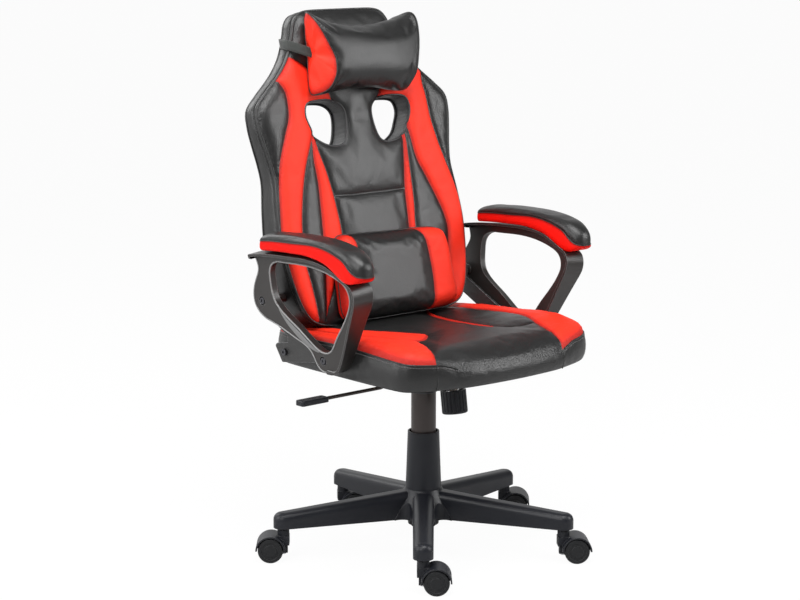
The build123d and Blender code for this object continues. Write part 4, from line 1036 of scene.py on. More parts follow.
# %% Cords and eye rims of the back
def edge_line(loop, bulge, depth):
    side = loop + outward(loop) * bulge
    n = depth(side[:, 1]) if callable(depth) else np.full(len(side), depth)
    return on_back(side[:, 0], side[:, 1], n)


front_cord = edge_line(back_outline, 0.6, -0.4)
rear_cord = edge_line(back_outline, 0.8, lambda v: rear_n(v) + 0.4)
cord_along("back_front_cord", [front_cord], 4.2)
cord_along("back_rear_cord", [rear_cord], 4.0)
stitch_along("back_band_stitches", [looped(edge_line(back_outline, 1.6, -10.6))])
skin_height = front_height(back_cut, back_colour)
rims = []
for hole in back_cut.holes:
    edge = back_cut.flat[hole]
    rims.append(on_back(edge[:, 0], edge[:, 1], skin_height[hole] - 0.6))
rims += [edge_line(eye, -1.0, lambda v: rear_n(v) - 0.5) for eye in (eye_right, eye_left)]
cord_along("eye_rims", rims, 5.0, finish["liner_plastic"])

# %% [markdown]
# ## The seat
# The seat's cover is drawn in plan. Its top has a black middle that rolls over the front edge, red sides,
# a red wedge on one side and a black one on the other, as the cutter laid them. A skirt hangs from a seam
# that falls towards the front corners, bulges with the foam and is pulled under the board.

# %% Cut of the seat
SEAT_SIDE = [(100, -260), (150, -250), (196, -236), (226, -221), (240, -204), (244, -170), (245, -100),
             (244, 0),
             (242, 90), (238, 140), (226, 172), (200, 192), (165, 199), (80, 200)]
seat_outline = anticlockwise(even_line([(0, -265)] + SEAT_SIDE + [(0, 200)] + mirror_line(SEAT_SIDE)[::-1],
                                       7.5, True))
SEAT_SEAMS = [
    [(-186, 196), (-194, 110), (-196, 50), (-191, -14), (-181, -106), (-168, -130), (-149, -142)],
    [(-174, 197), (-160, 100), (-142, 35), (-124, 2), (-108, -22), (-88, -60), (-72, -93)],
    [(-72, -93), (-100, -118), (-128, -132), (-149, -142)],
    [(-149, -142), (-152, -172), (-166, -206), (-180, -232), (-186, -239)],
    [(186, 196), (190, 120), (193, 60), (196, 0), (192, -60), (180, -108), (158, -154)],
    [(150, 199), (112, 130), (84, 80), (70, 40), (64, -10), (66, -60), (72, -100), (90, -141)],
    [(158, 199), (122, 130), (94, 80), (79, 40), (73, -10), (75, -60), (80, -104), (90, -141)],
    [(90, -141), (125, -152), (158, -154)],
    [(158, -154), (149, -184), (140, -214), (134, -255)],
]
seat_cut = Cut(seat_outline, [], SEAT_SEAMS, 8.0)
seat_colour = seat_cut.painted(0, [((-225, -100), 1), ((-130, -60), 1), ((225, -100), 1), ((71, 20), 1)])
print("red share of the seat", round(float((seat_colour == 1).mean()), 2))

# %% Heights of the seat
CREST = ([-262, -205, -150, -100, -45, 11, 75, 136, 200], [452, 466, 475, 474, 469, 466, 462, 455, 450])
MIDDLE = ([-265, -220, -150, -60, 40, 110, 200], [458, 465, 467, 465, 464, 463, 455])


def skirt_top(x, y):
    """Height of the seam between the top and the skirt, round the outline."""
    side = np.interp(y, [-262, -240, -198, -100, 0, 200], [440, 442, 448, 454, 455, 450])
    front = np.clip((np.abs(x) - 120) / 60.0, 0, 1)
    return np.where(y < -200, 428 + (side - 428) * front * front * (3 - 2 * front), side)


def seat_height(cut, colour):
    x, y = cut.flat.T
    blend = np.clip((np.abs(x) - 105) / 95.0, 0, 1)
    inner = np.interp(y,
                      *MIDDLE) + (np.interp(y, *CREST) - np.interp(y,
                                                                   *MIDDLE)) * blend * blend * (3 - 2 * blend)
    front = np.clip((-y - 190) / 60.0, 0, 1) * np.clip(1.15 - (np.abs(x) / 190.0) ** 2, 0, 1)
    radius = 24.0 + 36.0 * front
    d = np.clip(cut.from_rim / radius, 0, 1)
    rise = np.sqrt(1 - (1 - d) ** 2)
    rim = skirt_top(x, y)
    valley = 3.4 * np.exp(-(cut.from_seam / 4.5) ** 1.3) + 2.4 * np.exp(-cut.from_seam / 16.0)
    return rim + (inner - rim) * rise - valley * np.clip(cut.from_rim / 24.0, 0,
                                                         1) + 1.4 * cut.red_share(colour, 1)


# %% [markdown]
# The skirt is rings of points below the outline. It bulges 5 mm half way down, turns under the board's edge
# and closes above it, so the cover is one sealed skin with the board let into its underside.

# %% Build the seat's cover
SKIRT_RINGS = [(0.06, 1.5), (0.14, 2.8), (0.28, 4.4), (0.45, 5.2), (0.62, 5.0), (0.78, 3.6), (0.9, 1.4),
               (0.97, -1.0)]
BOARD_LOW, BOARD_TOP = 392.0, 404.3


def seat_skin():
    height = seat_height(seat_cut, seat_colour)
    flat = seat_cut.flat
    points = [np.column_stack([flat, height])]
    seam = [np.minimum(seat_cut.from_seam, seat_cut.from_rim)]
    free = [np.minimum(seat_cut.from_seam, seat_cut.from_rim) > 3.0]
    faces, colour = [tuple(t) for t in seat_cut.triangles], list(seat_colour)
    loop, normal = flat[seat_cut.rim], outward(flat[seat_cut.rim])
    top = height[seat_cut.rim]
    ring, count = list(seat_cut.rim), len(flat)
    rounds = [(loop + normal * bulge, top + (BOARD_LOW - top) * share, share) for share, bulge in SKIRT_RINGS]
    rounds += [(loop - normal * 6, np.full(len(loop), BOARD_LOW), 1.0),
               (loop - normal * 15.4, np.full(len(loop), BOARD_LOW), 1.0),
               (loop - normal * 15.4, np.full(len(loop), BOARD_TOP), 1.0)]
    for place, z, share in rounds:
        points.append(np.column_stack([place, z]))
        seam.append(np.minimum(top - z, 40) if share < 0.5 else np.full(len(loop), 40.0))
        free.append(np.full(len(loop), 0.1 < share < 0.85))
        new = list(range(count, count + len(loop)))
        for i in range(len(loop)):
            j = (i + 1) % len(loop)
            faces.append((ring[i], new[i], new[j], ring[j]))
            colour.append(0)
        ring, count = new, count + len(loop)
    under = Cut(loop - normal * 15.4, [], [], 26.0, rows=(9.0,))
    points.append(np.column_stack([under.flat, np.full(len(under.flat), BOARD_TOP)]))
    seam.append(np.full(len(under.flat), 40.0))
    free.append(np.zeros(len(under.flat), bool))
    faces += [tuple(t[::-1] + count) for t in under.triangles]
    colour += [0] * len(under.triangles)
    new = [i + count for i in under.rim]
    for i in range(len(loop)):
        j = (i + 1) % len(loop)
        faces.append((ring[i], new[i], new[j], ring[j]))
        colour.append(0)
    return np.vstack(points), faces, colour, np.concatenate(seam), np.concatenate(free)


points, faces, colour, seam, free = seat_skin()
seat_cover = add_piece("seat_upholstery", points, faces, [black_skin, red_skin], colour, seam)
stuffed(seat_cover, np.where(free, 0.0, 1.0), 1.2, 2.6, 0.004)
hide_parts("seat_cushion")
print("seat cover:", len(points), "points,", len(faces), "faces")

# %% Seams and stitches of the seat
seat_rim = seat_cut.flat[seat_cut.rim]
rim_height = skirt_top(*seat_rim.T)
skirt_line = np.column_stack([seat_rim + outward(seat_rim) * 0.8, rim_height])


def open_part(line, keep):
    """The longest run of a closed line whose points are kept, as an open line."""
    start = int(np.argmin(keep))
    order = np.r_[start:len(line), 0:start]
    chosen = [i for i in order if keep[i]]
    return line[chosen]


skirt_keep = ~((seat_rim[:, 1] < -200) & (np.abs(seat_rim[:, 0]) < 140))
cord_along("seat_skirt_welt", [open_part(skirt_line, skirt_keep)], 3.0, closed=False)
below = np.column_stack([seat_rim + outward(seat_rim) * 2.6, rim_height - 4.5])
stitch_along("seat_skirt_stitches", [open_part(below, skirt_keep)], 5.4, 3.6, 1.1, colour="thread_grey")
for side, corner in (("right", -186.0), ("left", 134.0)):
    front = seat_rim[np.argmin(np.abs(seat_rim[:, 0] - corner) + 1000 * (seat_rim[:, 1] > -200))]
    top = skirt_top(*front)
    fall = [(front[0], front[1] - 4.6 * np.sin(np.pi * s) - 0.4,
             top + (BOARD_LOW - top) * s) for s in np.linspace(0, 0.97, 12)]
    cord_along("seat_front_seam_" + side, [fall], 2.2, closed=False)
print("seat seams done")

# %% [markdown]
# ## Dust cloth
# A thin woven cloth closes the underside of the seat, with a window for the seat plate. It is stapled to the
# board along both edges, and sags between them under its own weight as far as the cap of 3 mm lets it.

# %% Dust cloth
WINDOW_X, WINDOW_FRONT, WINDOW_REAR = 99.0, -134.0, 114.0


def dust_cloth():
    window = [(-WINDOW_X, WINDOW_FRONT), (WINDOW_X, WINDOW_FRONT), (WINDOW_X, WINDOW_REAR),
              (-WINDOW_X, WINDOW_REAR)]
    window = anticlockwise(even_line(window, 11.0, True))
    edge = anticlockwise(even_line(seat_outline - outward(seat_outline) * 24.0, 11.0, True))
    cut = Cut(edge, [window], [], 12.0, rows=(7.0,))
    flat = np.column_stack([cut.flat, np.full(len(cut.flat), BOARD_LOW - 0.25)])
    cloth = add_piece("seat_dust_cloth", flat, [tuple(t) for t in cut.triangles], [finish["dust_cloth"]])
    stuffed(cloth, np.where(cut.from_edge > 4.0, 0.0, 1.0), 0.0, 3.0, 0.004, 24, 6.0, 1.0)
    thick = cloth.modifiers.new("thickness", "SOLIDIFY")
    thick.thickness, thick.offset = 0.5 * MM, -1.0
    graph = bpy.context.evaluated_depsgraph_get()
    cloth.data = bpy.data.meshes.new_from_object(cloth.evaluated_get(graph), preserve_all_data_layers=True,
                                                 depsgraph=graph)
    cloth.modifiers.remove(thick)
    return cloth


dust_cloth()

# %% [markdown]
# ## The lumbar cushion
# A loose pad leans on the foot of the back. Its black middle is one panel, and its red ends wrap round to
# the rear. It is cut flat like the other covers, rises in a quarter round from its rim and is closed behind.

# %% Lumbar cushion
LUMBAR_OUTLINE = [(-126, 164), (-86, 165), (0, 162), (87, 161), (122, 158), (139, 149), (148, 119), (151, 56),
                  (150, 14), (138, -2), (119, -6), (87, -7), (0, -7), (-60, -7), (-120, -5), (-137, 0), (-145,
                                                                                                         16),
                  (-143, 60), (-138, 120), (-135, 150)]
LUMBAR_SEAMS = [[(-108, 165), (-104, 135), (-112, 90), (-126, 40), (-141, -1)],
                [(62, 162), (74, 140), (79, 110), (80, 60), (75, 10), (70, -7)]]
lumbar_outline = anticlockwise(even_line(LUMBAR_OUTLINE, 6.0, True))
lumbar_cut = Cut(lumbar_outline, [], LUMBAR_SEAMS, 6.0)
lumbar_colour = lumbar_cut.painted(0, [((-125, 140), 1), ((115, 80), 1)])
REAR_N = 13.0


def puffed(cut, colour, rim_n, top_n, radius, sag=0.0, valley=2.6):
    """A pad from a cut: a quarter round up from the rim, a wall behind it and a flat rear."""
    d = np.clip(cut.from_rim / radius, 0, 1)
    rise = np.sqrt(1 - (1 - d) ** 2.2)
    height = rim_n + (top_n - rim_n) * rise - valley * np.exp(-(cut.from_seam / 4.5) ** 1.3) * d
    height -= sag * np.exp(-cut.from_seam / 18.0) * d
    points = [on_back(cut.flat[:, 0], cut.flat[:, 1], height)]
    seam = [np.minimum(cut.from_seam, cut.from_rim)]
    free = [np.minimum(cut.from_seam, cut.from_rim) > 2.6]
    faces, numbers = [tuple(t) for t in cut.triangles], list(colour)
    loop, normal = cut.flat[cut.rim], outward(cut.flat[cut.rim])
    share = cut.red_share(np.array(colour), 1)[cut.rim]
    ring, count = list(cut.rim), len(cut.flat)
    for n, out in ((rim_n * 0.62 + REAR_N * 0.38, 1.2), (rim_n * 0.3 + REAR_N * 0.7, -0.6), (REAR_N, -5.0)):
        side = loop + normal * out
        points.append(on_back(side[:, 0], side[:, 1], n))
        seam.append(np.full(len(loop), 3.0))
        free.append(np.zeros(len(loop), bool))
        new = list(range(count, count + len(loop)))
        for i in range(len(loop)):
            j = (i + 1) % len(loop)
            faces.append((ring[i], new[i], new[j], ring[j]))
            numbers.append(1 if share[i] > 0.5 else 0)
        ring, count = new, count + len(loop)
    rear = Cut(loop - normal * 5.0, [], [], 18.0, rows=(7.0,))
    points.append(on_back(rear.flat[:, 0], rear.flat[:, 1], REAR_N))
    seam.append(np.full(len(rear.flat), 40.0))
    free.append(np.zeros(len(rear.flat), bool))
    faces += [tuple(t[::-1] + count) for t in rear.triangles]
    numbers += [0] * len(rear.triangles)
    new = [i + count for i in rear.rim]
    for i in range(len(loop)):
        j = (i + 1) % len(loop)
        faces.append((ring[i], new[i], new[j], ring[j]))
        numbers.append(1 if share[i] > 0.5 else 0)
    return np.vstack(points), faces, numbers, np.concatenate(seam), np.concatenate(free)


points, faces, colour, seam, free = puffed(lumbar_cut, lumbar_colour, 32.0, 64.0, 33.0, 2.0)
lumbar = add_piece("lumbar_pad", points, faces, [black_skin, red_skin], colour, seam)
stuffed(lumbar, np.where(free, 0.0, 1.0), 1.8, 3.2, 0.005)
refined(lumbar)
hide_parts("lumbar_cushion")
lumbar_rim = lumbar_cut.flat[lumbar_cut.rim]
cord_along("lumbar_welt", [on_back(*(lumbar_rim + outward(lumbar_rim) * 0.6).T, 29.0)], 2.6)

# %% [markdown]
# ## The head pillow
# The pillow is a roll with a leaf-shaped cap at each end. Its top corners are drawn out into ears, where
# the cover gathers. The roll is lofted from rounded sections whose ends follow the cap seams, and each cap
# is drawn in from its seam to a crown of its own.

# %% Head pillow
TOP_OF_PILLOW = ([-134, -122, -106, -78, -28, 11, 51, 93, 125, 146],
                 [615, 611, 604, 592, 584, 581, 582, 589, 599, 609])
FOOT_OF_PILLOW = ([-132, -87, -43, 10, 49, 89, 115], [445, 450, 453, 452, 449, 443, 444])
CAP_RIGHT = ([444, 478, 516, 559, 600, 615], [-108, -97, -96, -113, -131, -136])
CAP_RIGHT_REAR = ([444, 479, 519, 559, 600, 615], [-128, -121, -114, -110, -108, -114])
CAP_LEFT = ([442, 468, 508, 539, 580, 610], [94, 110, 122, 131, 140, 144])
CAP_LEFT_REAR = ([444, 519, 600], [114, 119, 116])


def pillow_section(u, turns):
    """Rounded section of the roll at one place along it: (v, n) for each turn."""
    high, low = np.interp(u, *TOP_OF_PILLOW), np.interp(u, *FOOT_OF_PILLOW)
    end = np.clip(np.abs(u - 8) / 135.0, 0, 1) ** 3
    front = 87.0 - 9.0 * end
    s, c = np.sin(turns), np.cos(turns)
    power_v = 0.78 - 0.22 * end
    depth = np.where(c > 0, (front - REAR_N) * 0.62, (front - REAR_N) * 0.38)
    middle_n = REAR_N + (front - REAR_N) * 0.38
    v = (high + low) / 2 + (high - low) / 2 * np.sign(s) * np.abs(s) ** power_v
    n = middle_n + depth * np.sign(c) * np.abs(c) ** np.where(c > 0, 0.86, 0.42)
    return v, n


def pillow_skin(around=72, along=44, rings=7):
    turns = np.linspace(0, 2 * np.pi, around, endpoint=False)
    points, seam, free, faces, colour = [], [], [], [], []
    for step in range(along + 1):
        t = step / along
        guess = -118 + (136 + 118) * t
        v, n = pillow_section(np.full(around, guess), turns)
        ahead = np.clip((n - 14) / 56.0, 0, 1)
        ahead = ahead * ahead * (3 - 2 * ahead)
        right = np.interp(v, *CAP_RIGHT_REAR) * (1 - ahead) + np.interp(v, *CAP_RIGHT) * ahead
        left = np.interp(v, *CAP_LEFT_REAR) * (1 - ahead) + np.interp(v, *CAP_LEFT) * ahead
        u = right + (left - right) * t
        v, n = pillow_section(u, turns)
        points.append(on_back(u, v, n))
        from_end = np.minimum(u - right, left - u)
        seam.append(from_end)
        free.append((from_end > 4) & (n > 20))
    for step in range(along):
        for k in range(around):
            j = (k + 1) % around
            a, b = step * around, (step + 1) * around
            faces.append((a + k, a + j, b + j, b + k))
            colour.append(0)
    count = (along + 1) * around
    for start, sign in ((0, -1), (along * around, 1)):
        rim = np.vstack(points)[start:start + around]
        middle = rim.mean(0)
        bulge = np.array([sign * 8.0, 0.0, 0.0]) + BACK_AHEAD * 3.0
        ring = list(range(start, start + around))
        for r in range(1, rings + 1):
            f = 1 - r / rings
            new = middle + (rim - middle) * f + bulge * (1 - f * f) if r < rings else middle[None] + bulge
            points.append(new)
            seam.append(np.full(len(new), 34.0 * (1 - f)))
            free.append(np.full(len(new), r >= 1))
            made = list(range(count, count + len(new)))
            for k in range(around):
                j = (k + 1) % around
                face = (ring[k], ring[j], made[j], made[k]) if r < rings else (ring[k], ring[j], made[0])
                faces.append(face[::-1] if sign < 0 else face)
                colour.append(1)
            ring, count = made, count + len(new)
    return np.vstack(points), faces, colour, np.concatenate(seam), np.concatenate(free), around, along


points, faces, colour, seam, free, around, along = pillow_skin()
pillow = add_piece("head_pillow_cover", points, faces, [black_skin, red_skin], colour, seam, "head_rest")
facing = sum(p.normal.dot(Vector(p.center) - Vector(points.mean(0) * MM)) for p in pillow.data.polygons)
if facing < 0:
    pillow.data.flip_normals()
stuffed(pillow, np.where(free, 0.0, 1.0), 1.8, 3.6, 0.02)
refined(pillow)
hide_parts("head_pillow")
bpy.context.view_layer.update()
graph = bpy.context.evaluated_depsgraph_get()
settled = np.zeros(len(pillow.evaluated_get(graph).data.vertices) * 3)
pillow.evaluated_get(graph).data.vertices.foreach_get("co", settled)
settled = settled.reshape(-1, 3) / MM
for number, start in enumerate((0, along * around)):
    ring = settled[start:start + around]
    centre = ring.mean(0)
    out = (ring - centre) / np.linalg.norm(ring - centre, axis=1)[:, None]
    cord_along("pillow_cap_welt_" + str(number + 1), [ring + out * 0.3], 2.4, body="head_rest")

# %% [markdown]
# ## The strap
# An elastic band, 19 mm wide, runs from the pillow's ends round the head of the back. It is a flat strip
# along one path, so it is modelled directly: a simulation would only blur its edges.

# %% Strap
def strap_path():
    right = [(-108, 527, 40), (-124, 534, 34), (-138, 543, 24), (-146, 552, 8), (-147, 559, -12),
             (-143, 563, -28),
             (-128, 566, -40), (-100, 566, -43), (-50, 566, -43)]
    left = [(-u, v, n) for u, v, n in right[::-1]]
    return even_line(right + [(0, 566, -43)] + left, 6.0)


def ribbon(name, path, wide, thick, across, body, material):
    """Flat band along a path; across is the direction of its width."""
    along = np.gradient(path, axis=0)
    along /= np.linalg.norm(along, axis=1)[:, None]
    side = np.tile(np.array(across, float), (len(path), 1))
    side -= along * np.sum(side * along, 1)[:, None]
    side /= np.linalg.norm(side, axis=1)[:, None]
    up = np.cross(along, side)
    section = [(-0.5, -0.5), (-0.5, 0.5), (-0.25, 0.62), (0.25, 0.62), (0.5, 0.5), (0.5, -0.5), (0.25, -0.6),
               (-0.25, -0.6)]
    points = np.vstack([path[i] + side[i] * wide * a + up[i] * thick * b for i in range(len(path)) for a,
                        b in section])
    n, faces = len(section), []
    for i in range(len(path) - 1):
        for k in range(n):
            j = (k + 1) % n
            faces.append((i * n + k, i * n + j, (i + 1) * n + j, (i + 1) * n + k))
    faces += [tuple(range(n))[::-1], tuple((len(path) - 1) * n + k for k in range(n))]
    piece = add_piece(name, points, faces, [material], None, None, body)
    print(name, "runs", round(float(np.sum(np.linalg.norm(np.diff(path, axis=0), axis=1)))), "mm")
    return piece


def on_back_path(path):
    return on_back(*np.array(path).T)


strap = ribbon("strap_band", on_back_path(strap_path()), 19.0, 1.5, BACK_UP, "head_rest", finish["elastic"])
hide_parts("head_strap")


# %% [markdown]
# ## The arm pads
# Each pad is a long bolster with two covers: a red band round its side and a black crown that droops over
# the nose. It is lofted from sections along its length. The widths close to nothing at both ends, which
# gives the nose its round plan, and the seam between band and crown is a line of its own in every section.

# %% Arm pads
def curve_through(xs, ys):
    """Smooth curve through given places, as a function."""
    xs, ys = np.array(xs, float), np.array(ys, float)
    slope = np.gradient(ys, xs)

    def value(x):
        x = np.clip(np.asarray(x, float), xs[0], xs[-1])
        i = np.clip(np.searchsorted(xs, x) - 1, 0, len(xs) - 2)
        gap = xs[i + 1] - xs[i]
        t = (x - xs[i]) / gap
        start = ys[i] * (1 + 2 * t) * (1 - t) ** 2 + slope[i] * gap * t * (1 - t) ** 2
        return start + ys[i + 1] * t * t * (3 - 2 * t) + slope[i + 1] * gap * t * t * (t - 1)
    return value


pad_crown = curve_through([-170, -166, -158, -147, -111, -66, 6, 70, 104, 120, 130],
                          [622, 632, 641, 649, 661, 667, 669, 667, 663, 657, 647])
pad_band = curve_through([-170, -158, -146, -132, -105, -64, 30, 90, 130],
                         [609, 612, 620, 633, 645, 654, 653, 650, 646])
pad_foot = curve_through([-170, -158, -140, -122, -104, -78, -30, 40, 90, 130],
                         [606, 600, 595, 597, 606, 620, 631, 632, 630, 627])
PAD_FRONT, PAD_BACK = -170.0, 130.0


def pad_width(y):
    nose = np.clip((y - PAD_FRONT) / 40.0, 0, 1)
    tail = np.clip((PAD_BACK - y) / 12.0, 0, 1)
    return 27.5 * (1 - (1 - nose) ** 2.3) ** (1 / 2.3) * (1 - (1 - tail) ** 2.2) ** (1 / 2.2)


def pad_skin(centre_x, stations=84, half=26):
    t = np.linspace(0, 1, stations + 1)
    bow = (1 - np.cos(np.pi * t)) / 2
    ys = PAD_FRONT + (PAD_BACK - PAD_FRONT) * (0.55 * t + 0.45 * bow)
    points, seam, free, faces, colour = [], [], [], [], []
    for y in ys:
        w, crown, foot = float(pad_width(y)), float(pad_crown(y)), float(pad_foot(y))
        band = min(max(float(pad_band(y)), foot + 1.0), crown - 1.0)
        row, away = [], []
        for k in range(half + 1):
            if k < 5:
                s = k / 5
                row.append((w * 0.86 * s, foot))
                away.append(30.0)
            elif k < 12:
                s = (k - 5) / 6
                side = w * (0.86 + 0.14 * min(1.0, s * 3.0) ** 0.5) + 1.2 * np.sin(np.pi * s) * min(1.0,
                                                                                                    w / 10)
                row.append((side - (0.9 if k == 11 else 0.0) * min(1.0, w / 10), foot + (band - foot) * s))
                away.append((band - foot) * (1 - s))
            else:
                s = (k - 11) / (half - 11)
                turn = s * np.pi / 2
                rise = np.sin(turn) ** 0.72
                row.append((w * np.cos(turn) ** 0.86 + 0.8 * np.sin(2 * turn) * min(1.0, w / 10),
                            band + (crown - band) * rise))
                away.append(40.0 * s)
        mirrored = [(-x, z) for x, z in row[1:-1]][::-1]
        for x, z in row + mirrored:
            points.append((centre_x + x, y, z))
        seam += away + away[1:-1][::-1]
        free += [14 <= k for k in range(half + 1)] + [14 <= k for k in range(1, half)][::-1]
    around = 2 * half
    for i in range(stations):
        for k in range(around):
            j = (k + 1) % around
            a, b = i * around, (i + 1) * around
            faces.append((a + k, a + j, b + j, b + k))
            side = k if k < half else around - 1 - k
            colour.append(1 if side < 11 else 0)
    return np.array(points), faces, colour, np.array(seam), np.array(free)


def weld(piece, gap=0.05):
    """Merges points that meet, as at the closed ends of a loft, and turns the faces outwards."""
    mesh = bmesh.new()
    mesh.from_mesh(piece.data)
    bmesh.ops.remove_doubles(mesh, verts=mesh.verts, dist=gap * MM)
    bmesh.ops.dissolve_degenerate(mesh, edges=mesh.edges, dist=1e-6)
    bmesh.ops.recalc_face_normals(mesh, faces=mesh.faces)
    mesh.to_mesh(piece.data)
    mesh.free()
    return piece


def make_arm_pad(side, sign):
    points, faces, colour, seam, free = pad_skin(sign * 287.6)
    # The red band takes the shaded copy of the red: painted shade.
    pad = add_piece("arm_pad_cover_" + side, points, faces, [black_skin, red_skin_in_shade], colour, seam)
    stuffed(pad, np.where(free, 0.0, 1.0), 1.6, 0.9, 0.001, 16)
    weld(pad)
    refined(pad)
    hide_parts("arm_pad_" + side)
    ys = np.linspace(PAD_FRONT + 0.6, PAD_BACK - 0.6, 120)
    right = np.stack([sign * 287.6 + pad_width(ys) - 0.1, ys, pad_band(ys)], 1)
    left = np.stack([sign * 287.6 - pad_width(ys) + 0.1, ys, pad_band(ys)], 1)
    cord_along("arm_pad_seam_" + side, [np.vstack([right, left[::-1]])], 1.8)
    return pad


for side, sign in (("left", 1), ("right", -1)):
    make_arm_pad(side, sign)
print("arm pads done")

# %% [markdown]
# ## Ridges and screws of the arms
# The arms are mouldings with a web inside a raised edge. The ridge follows the web's own outline, which is
# read from the frame's mesh: the triangles of the web's outer face are picked out, and the edges that only
# one of them uses are its outline. Geometry Nodes then sweep a bead along it.

# %% Outline of the arms' webs
ARM_LEAN = np.radians(6.5)
KNUCKLE = np.array([257.5, -14.0, 426.0])
WEB = 13.0


def on_arm(sign, y, z, out):
    """Point on an arm: back and up from the knuckle along the leaning web, and out from its outer face."""
    y, z, out = np.broadcast_arrays(np.asarray(y, float), np.asarray(z, float), np.asarray(out, float))
    away = (WEB + out) * np.cos(ARM_LEAN) + z * np.sin(ARM_LEAN)
    rise = z * np.cos(ARM_LEAN) - (WEB + out) * np.sin(ARM_LEAN)
    return np.stack([sign * (KNUCKLE[0] + away), KNUCKLE[1] + y, KNUCKLE[2] + rise], -1)


def in_arm(sign, points):
    """The same place seen from the knuckle: (back, up, out)."""
    away, y, rise = points[:, 0] * sign - KNUCKLE[0], points[:, 1] - KNUCKLE[1], points[:, 2] - KNUCKLE[2]
    z = rise * np.cos(ARM_LEAN) + away * np.sin(ARM_LEAN)
    return np.stack([y, z, away * np.cos(ARM_LEAN) - rise * np.sin(ARM_LEAN) - WEB], -1)


def web_loops(node, sign):
    mesh = nodes[node].data
    points = np.zeros(len(mesh.vertices) * 3)
    mesh.vertices.foreach_get("co", points)
    local = in_arm(sign, points.reshape(-1, 3) / MM)
    edges = {}
    for face in mesh.polygons:
        corner = local[list(face.vertices)]
        if np.abs(corner[:, 2]).max() < 0.05:
            keys = [tuple(np.round(c[:2], 1)) for c in corner]
            for a, b in zip(keys, keys[1:] + keys[:1]):
                edges[frozenset((a, b))] = edges.get(frozenset((a, b)), 0) + 1
    ends = {}
    for edge, count in edges.items():
        if count == 1 and len(edge) == 2:
            a, b = tuple(edge)
            ends.setdefault(a, []).append(b)
            ends.setdefault(b, []).append(a)
    loops, left = [], set(ends)
    while left:
        loop = [min(left)]
        left.discard(loop[0])
        while True:
            step = [p for p in ends[loop[-1]] if p in left]
            if not step:
                break
            loop.append(step[0])
            left.discard(step[0])
        if len(loop) > 8:
            loops.append(np.array(loop))
    return sorted(loops, key=lambda loop: -np.ptp(loop[:, 0]) * np.ptp(loop[:, 1]))


arm_loops = web_loops("arm_frame_right", -1)
print("web loops:", [(len(loop), [round(float(v), 1) for v in np.ptp(loop, axis=0)]) for loop in arm_loops])

# %% Ridges and the bright facet
def eased(loop, rounds=3):
    """Takes the corners off a closed line."""
    for _ in range(rounds):
        loop = (np.roll(loop, 1, 0) + 2 * loop + np.roll(loop, -1, 0)) / 4
    return loop


def joined(chains, gap=1.5):
    """Joins chains whose ends meet."""
    chains = [list(map(tuple, chain)) for chain in chains]
    done = False
    while not done:
        done = True
        for a in range(len(chains)):
            for b in range(len(chains)):
                if a == b:
                    continue
                for first, second in ((chains[a], chains[b]), (chains[a], chains[b][::-1]),
                                      (chains[a][::-1], chains[b])):
                    if done and np.hypot(*np.subtract(first[-1], second[0])) < gap:
                        rest = [chain for k, chain in enumerate(chains) if k not in (a, b)]
                        chains, done = rest + [first + second], False
                if not done:
                    break
            if not done:
                break
    return [np.array(chain) for chain in chains]


def is_closed(chain):
    return np.hypot(*(chain[0] - chain[-1])) < 12.0


big = joined([loop for loop in arm_loops if np.ptp(loop[:, 0]) > 60])
opening_line = min([loop for loop in big if is_closed(loop)], key=lambda loop: np.ptp(loop[:, 0]))
opening_line = anticlockwise(eased(even_line(opening_line, 4.0, True), 2))
edge_lines = [even_line(loop, 4.0) for loop in big if not is_closed(loop)]
edge_lines += [looped(even_line(loop, 4.0,
                                True)) for loop in big if is_closed(loop) and np.ptp(loop[:, 0]) > 300]
print("ridges:", len(edge_lines), "edge lines; opening", len(opening_line), "points")


def facet(sign, side):
    """Long tilted facet above the diagonal: proud along the opening and flush along its lower edge."""
    opening = opening_line
    away = outward(opening)
    share = (opening[:, 0] - 4.0) / 116.0
    low = (share > 0) & (share < 1) & (opening[:, 1] < 104.0)
    order = np.argsort(opening[low][:, 0])
    edge, away, share = opening[low][order], away[low][order], share[low][order]
    swell = np.sin(np.pi * share) ** 0.8
    points, faces = [], []
    for (y, z), (ny, nz), s in zip(edge, away, swell):
        for step, out in ((4.0, -1.0), (4.0, 3.4 * s), (5.0, 3.8 * s), (4.4 + 14.0 * s, 0.5 * s),
                          (5.4 + 14.5 * s, -1.0)):
            points.append(on_arm(sign, y + ny * step, z + nz * step, out))
    for i in range(len(edge) - 1):
        for k in range(5):
            j = (k + 1) % 5
            faces.append((i * 5 + k, i * 5 + j, i * 5 + 5 + j, i * 5 + 5 + k))
    last = (len(edge) - 1) * 5
    faces += [tuple(range(5))[::-1], tuple(last + k for k in range(5))]
    # Its light grey finish is a painted highlight.
    piece = add_piece("arm_facet_painted_highlight_" + side, np.array(points), faces, [finish["arm_facet_painted_highlight"]],
                      smooth=False)
    return weld(piece)


for side, sign in (("left", 1), ("right", -1)):
    rim = opening_line + outward(opening_line) * 1.6
    # The ridges' light grey finish is a painted highlight.
    cord_along("arm_opening_ridge_" + side, [on_arm(sign, rim[:, 0], rim[:, 1], 0.0)], 3.4,
               finish["arm_ridge_painted_highlight"])
    cord_along("arm_edge_ridge_" + side, [on_arm(sign, line[:, 0], line[:, 1], -0.2) for line in edge_lines],
               3.0,
               finish["arm_ridge_painted_highlight"], False)
    facet(sign, side)
print("ridges and facets done")

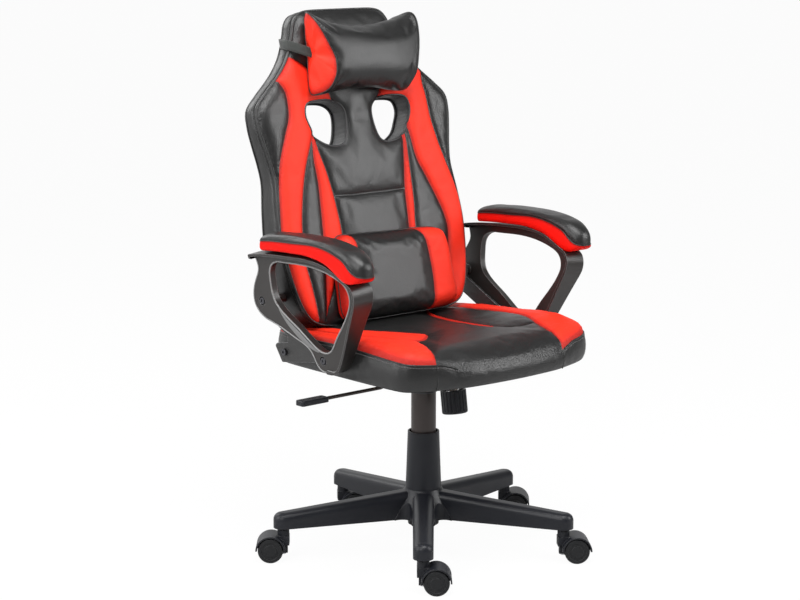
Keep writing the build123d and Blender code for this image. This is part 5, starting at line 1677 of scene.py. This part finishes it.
# %% Socket screws, with Geometry Nodes
def screw_tree():
    """A round head with a six-sided socket at the start of each short line, facing along it."""
    tree = new_tree("socket_screws", [("Head", "NodeSocketFloat"), ("Height", "NodeSocketFloat"),
                                      ("Socket", "NodeSocketFloat"), ("Finish", "NodeSocketMaterial")])
    start = tree.nodes.new("NodeGroupInput").outputs
    line = wire(tree, "GeometryNodeMeshToCurve", links={"Mesh": start["Geometry"]})
    first = wire(tree, "GeometryNodeCurveEndpointSelection", {}, {}, {"Start Size": 1, "End Size": 0})
    head = wire(tree, "GeometryNodeMeshCylinder", {}, {"Radius": start["Head"], "Depth": start["Height"]},
                {"Vertices": 28})
    bore = wire(tree, "GeometryNodeMeshCylinder", {}, {"Radius": start["Socket"], "Depth": start["Height"]},
                {"Vertices": 6})
    lift = wire(tree, "ShaderNodeCombineXYZ", {}, {2: start["Height"]}, {0: 0.0})
    raised = wire(tree, "GeometryNodeTransform", {}, {"Geometry": bore.outputs[0],
                                                      "Translation": wire(tree, "ShaderNodeVectorMath",
                                                                          {"operation": "SCALE"},
                                                                          {0: lift.outputs[0]},
                                                                          {"Scale": 0.35}).outputs[0]})
    cut = wire(tree, "GeometryNodeMeshBoolean", {"operation": "DIFFERENCE"}, {"Mesh 1": head.outputs[0],
                                                                             "Mesh 2": raised.outputs[0]})
    tangent = wire(tree, "GeometryNodeInputTangent")
    turn = wire(tree, "FunctionNodeAlignRotationToVector", {"axis": "Z"}, {"Vector": tangent.outputs[0]})
    placed = wire(tree, "GeometryNodeInstanceOnPoints", {},
                  {"Points": line.outputs[0], "Instance": cut.outputs[0],
                                                             "Selection": first.outputs[0],
                                                             "Rotation": turn.outputs[0]})
    real = wire(tree, "GeometryNodeRealizeInstances", {}, {"Geometry": placed.outputs[0]})
    painted = wire(tree, "GeometryNodeSetMaterial", {},
                   {"Geometry": real.outputs[0], "Material": start["Finish"]})
    end = tree.nodes.new("NodeGroupOutput")
    tree.links.new(painted.outputs[0], end.inputs[0])
    return tree


SCREWS = screw_tree()
BRACKET_OUT = 256.0


def screw_lines(sign):
    """Middles of the three heads on one side, each with the direction it faces."""
    lines = []
    for y, z in ((-14.0, 426.0), (160.0, 520.0)):
        x = KNUCKLE[0] + (z - KNUCKLE[2]) * np.tan(ARM_LEAN) + WEB / np.cos(ARM_LEAN) - 0.5
        lines.append([(sign * x, y, z), (sign * (x + 5), y, z)])
    lines.append([(sign * (BRACKET_OUT + 4.4), 120.0, 421.0), (sign * (BRACKET_OUT + 9.4), 120.0, 421.0)])
    return lines


for side, sign in (("left", 1), ("right", -1)):
    grown_on("arm_screw_heads_" + side, screw_lines(sign), SCREWS, {
        "Head": 6.6 * MM, "Height": 2.4 * MM, "Socket": 3.4 * MM, "Finish": finish["zinc_screws"]}, "seat")

# %% [markdown]
# ## Last update
# The view layer is brought up to date. The visual model has to stay within the frame's own box, but for a
# little that fabric may stand proud.

# %% Update the view layer
bpy.context.view_layer.update()
